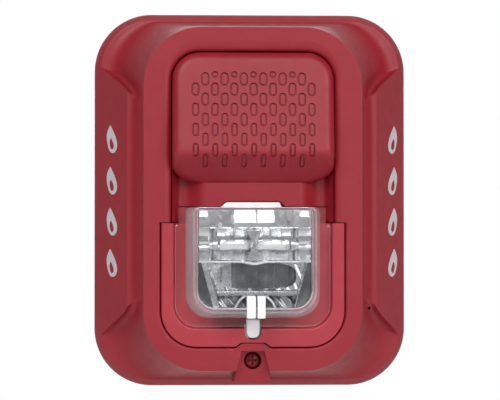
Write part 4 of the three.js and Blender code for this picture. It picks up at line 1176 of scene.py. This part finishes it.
NODE_MATERIALS = {
    "white_plastic": "white",
    "control_plastic": "control",
    "black_plastic": "black",
    "zinc_steel": "steel",
    "brass": "brass",
    "piezo_ceramic": "ceramic",
    "board_laminate": "board",
    "capacitor_sleeve": "sleeve",
    "ferrite": "ferrite",
    "copper_winding": "copper",
    "red_plastic": "red",
    "clear_plastic": "clear",
    "tube_glass": "glass",
    "mirror_film": "mirror",
    "painted_screw": "paint",
}


def dress_nodes():
    """Gives each CAD node the material of its slot."""
    for row in frame["record"]["subparts"]:
        node = frame["nodes"][row["node"]]
        node.data.materials.clear()
        node.data.materials.append(MAT[NODE_MATERIALS[row["material_slot"]]])


# ---- stage, light and camera

FLOOR_DROP = 0.17  # the floor's depth below the device's middle, in metres
FLOOR_SIZE = 2.6
LIGHTS = {  # place and target in metres, width and height, and power in watts
    "key": ((-0.45, -1.2, 0.95), (0, 0, 0), (1.0, 0.7), 10.9),
    "fill": ((0.7, -1.25, 0.6), (0, 0, 0), (0.8, 0.8), 8.4),
    "behind": ((0.0, 1.2, 0.3), (0, 0.2, -0.1), (1.2, 0.6), 5),
}
CAMERA = {  # angles in degrees, distance and target in metres, focal length in millimetres
    "azimuth": -2.75, "elevation": -1.0, "distance": 1.0, "target": (0.0002, -0.004, 0.0), "lens": 186.5,
}


def stage():
    """A plain pale floor below the device."""
    bpy.ops.mesh.primitive_plane_add(size=FLOOR_SIZE, location=(0, 0, -FLOOR_DROP))
    floor = bpy.context.object
    floor.name = "floor"
    material, tree, shader = new_material("pale_floor")
    pale = two_tone(tree, noise(tree, 3.0), (0.82, 0.82, 0.82), (0.85, 0.85, 0.85))
    tree.links.new(pale, shader.inputs["Base Color"])
    shader.inputs["Roughness"].default_value = 0.9
    floor.data.materials.append(material)


def area_light(name, place, target, size, energy):
    light = bpy.data.lights.new(name, "AREA")
    light.shape = "RECTANGLE"
    light.size, light.size_y = size
    light.energy = energy
    obj = bpy.data.objects.new(name, light)
    obj.location = place
    direction = Vector(target) - Vector(place)
    obj.rotation_euler = direction.to_track_quat("-Z", "Y").to_euler()
    add_to_scene(obj)
    return obj


WORLD_BANDS = (  # share of the way from in front of the device to behind it, and brightness
    (0.0, 0.5),
    (0.16, 0.48),
    (0.33, 0.08),
    (0.44, 0.01),
    (0.54, 0.03),
    (0.68, 0.85),
    (1.0, 1.0),
)
WORLD_BELOW = 0.12  # brightness straight below, as a share of that straight above


def world():
    """A pale surround, dimmer beside the device than in front of it and bright behind it."""
    studio_world = bpy.data.worlds.new("studio")
    bpy.context.scene.world = studio_world
    studio_world.use_nodes = True
    tree = studio_world.node_tree
    back = tree.nodes["Background"]
    place = new_node(tree, "TexCoord")
    split = new_node(tree, "SeparateXYZ")
    tree.links.new(place.outputs["Generated"], split.inputs["Vector"])
    share = new_node(tree, "MapRange")
    share.inputs["From Min"].default_value = -1.0
    tree.links.new(split.outputs["Y"], share.inputs["Value"])
    ramp = new_node(tree, "ValToRGB")
    bands = ramp.color_ramp
    bands.interpolation = "B_SPLINE"
    for along, _ in WORLD_BANDS[1:-1]:
        bands.elements.new(along)
    for band, (along, bright) in zip(bands.elements, WORLD_BANDS):
        band.position = along
        band.color = (bright, bright, bright, 1)
    tree.links.new(share.outputs["Result"], ramp.inputs["Fac"])
    tree.links.new(ramp.outputs["Color"], back.inputs["Color"])
    height = new_node(tree, "MapRange")
    set_inputs(height, {"From Min": -1.0, "To Min": WORLD_BELOW})
    tree.links.new(split.outputs["Z"], height.inputs["Value"])
    tree.links.new(height.outputs["Result"], back.inputs["Strength"])
    plain = new_node(tree, "Background")
    set_inputs(plain, {"Color": (1, 1, 1, 1), "Strength": 1.0})
    rays = new_node(tree, "LightPath")
    mix = new_node(tree, "MixShader")
    tree.links.new(rays.outputs["Is Camera Ray"], mix.inputs["Fac"])
    tree.links.new(back.outputs["Background"], mix.inputs[1])
    tree.links.new(plain.outputs["Background"], mix.inputs[2])
    tree.links.new(mix.outputs["Shader"], tree.nodes["World Output"].inputs["Surface"])


def camera():
    azimuth, elevation = math.radians(CAMERA["azimuth"]), math.radians(CAMERA["elevation"])
    back = Vector((
        math.sin(azimuth) * math.cos(elevation),
        -math.cos(azimuth) * math.cos(elevation),
        math.sin(elevation),
    ))
    data = bpy.data.cameras.new("camera")
    data.lens = CAMERA["lens"]
    data.sensor_width = 36.0
    obj = bpy.data.objects.new("camera", data)
    obj.location = Vector(CAMERA["target"]) + back * CAMERA["distance"]
    obj.rotation_euler = (-back).to_track_quat("-Z", "Y").to_euler()
    add_to_scene(obj)
    bpy.context.scene.camera = obj


def studio():
    scene = bpy.context.scene
    scene.view_settings.view_transform = "Standard"
    world()
    stage()
    for name, settings in LIGHTS.items():
        area_light(name, *settings)
    camera()


# ---- build

dress_nodes()
bezel_shell()
marks()
horn_cover()
strobe_surround()
strobe_lens()
reflector()
strobe_parts()
cover_screw()
studio()
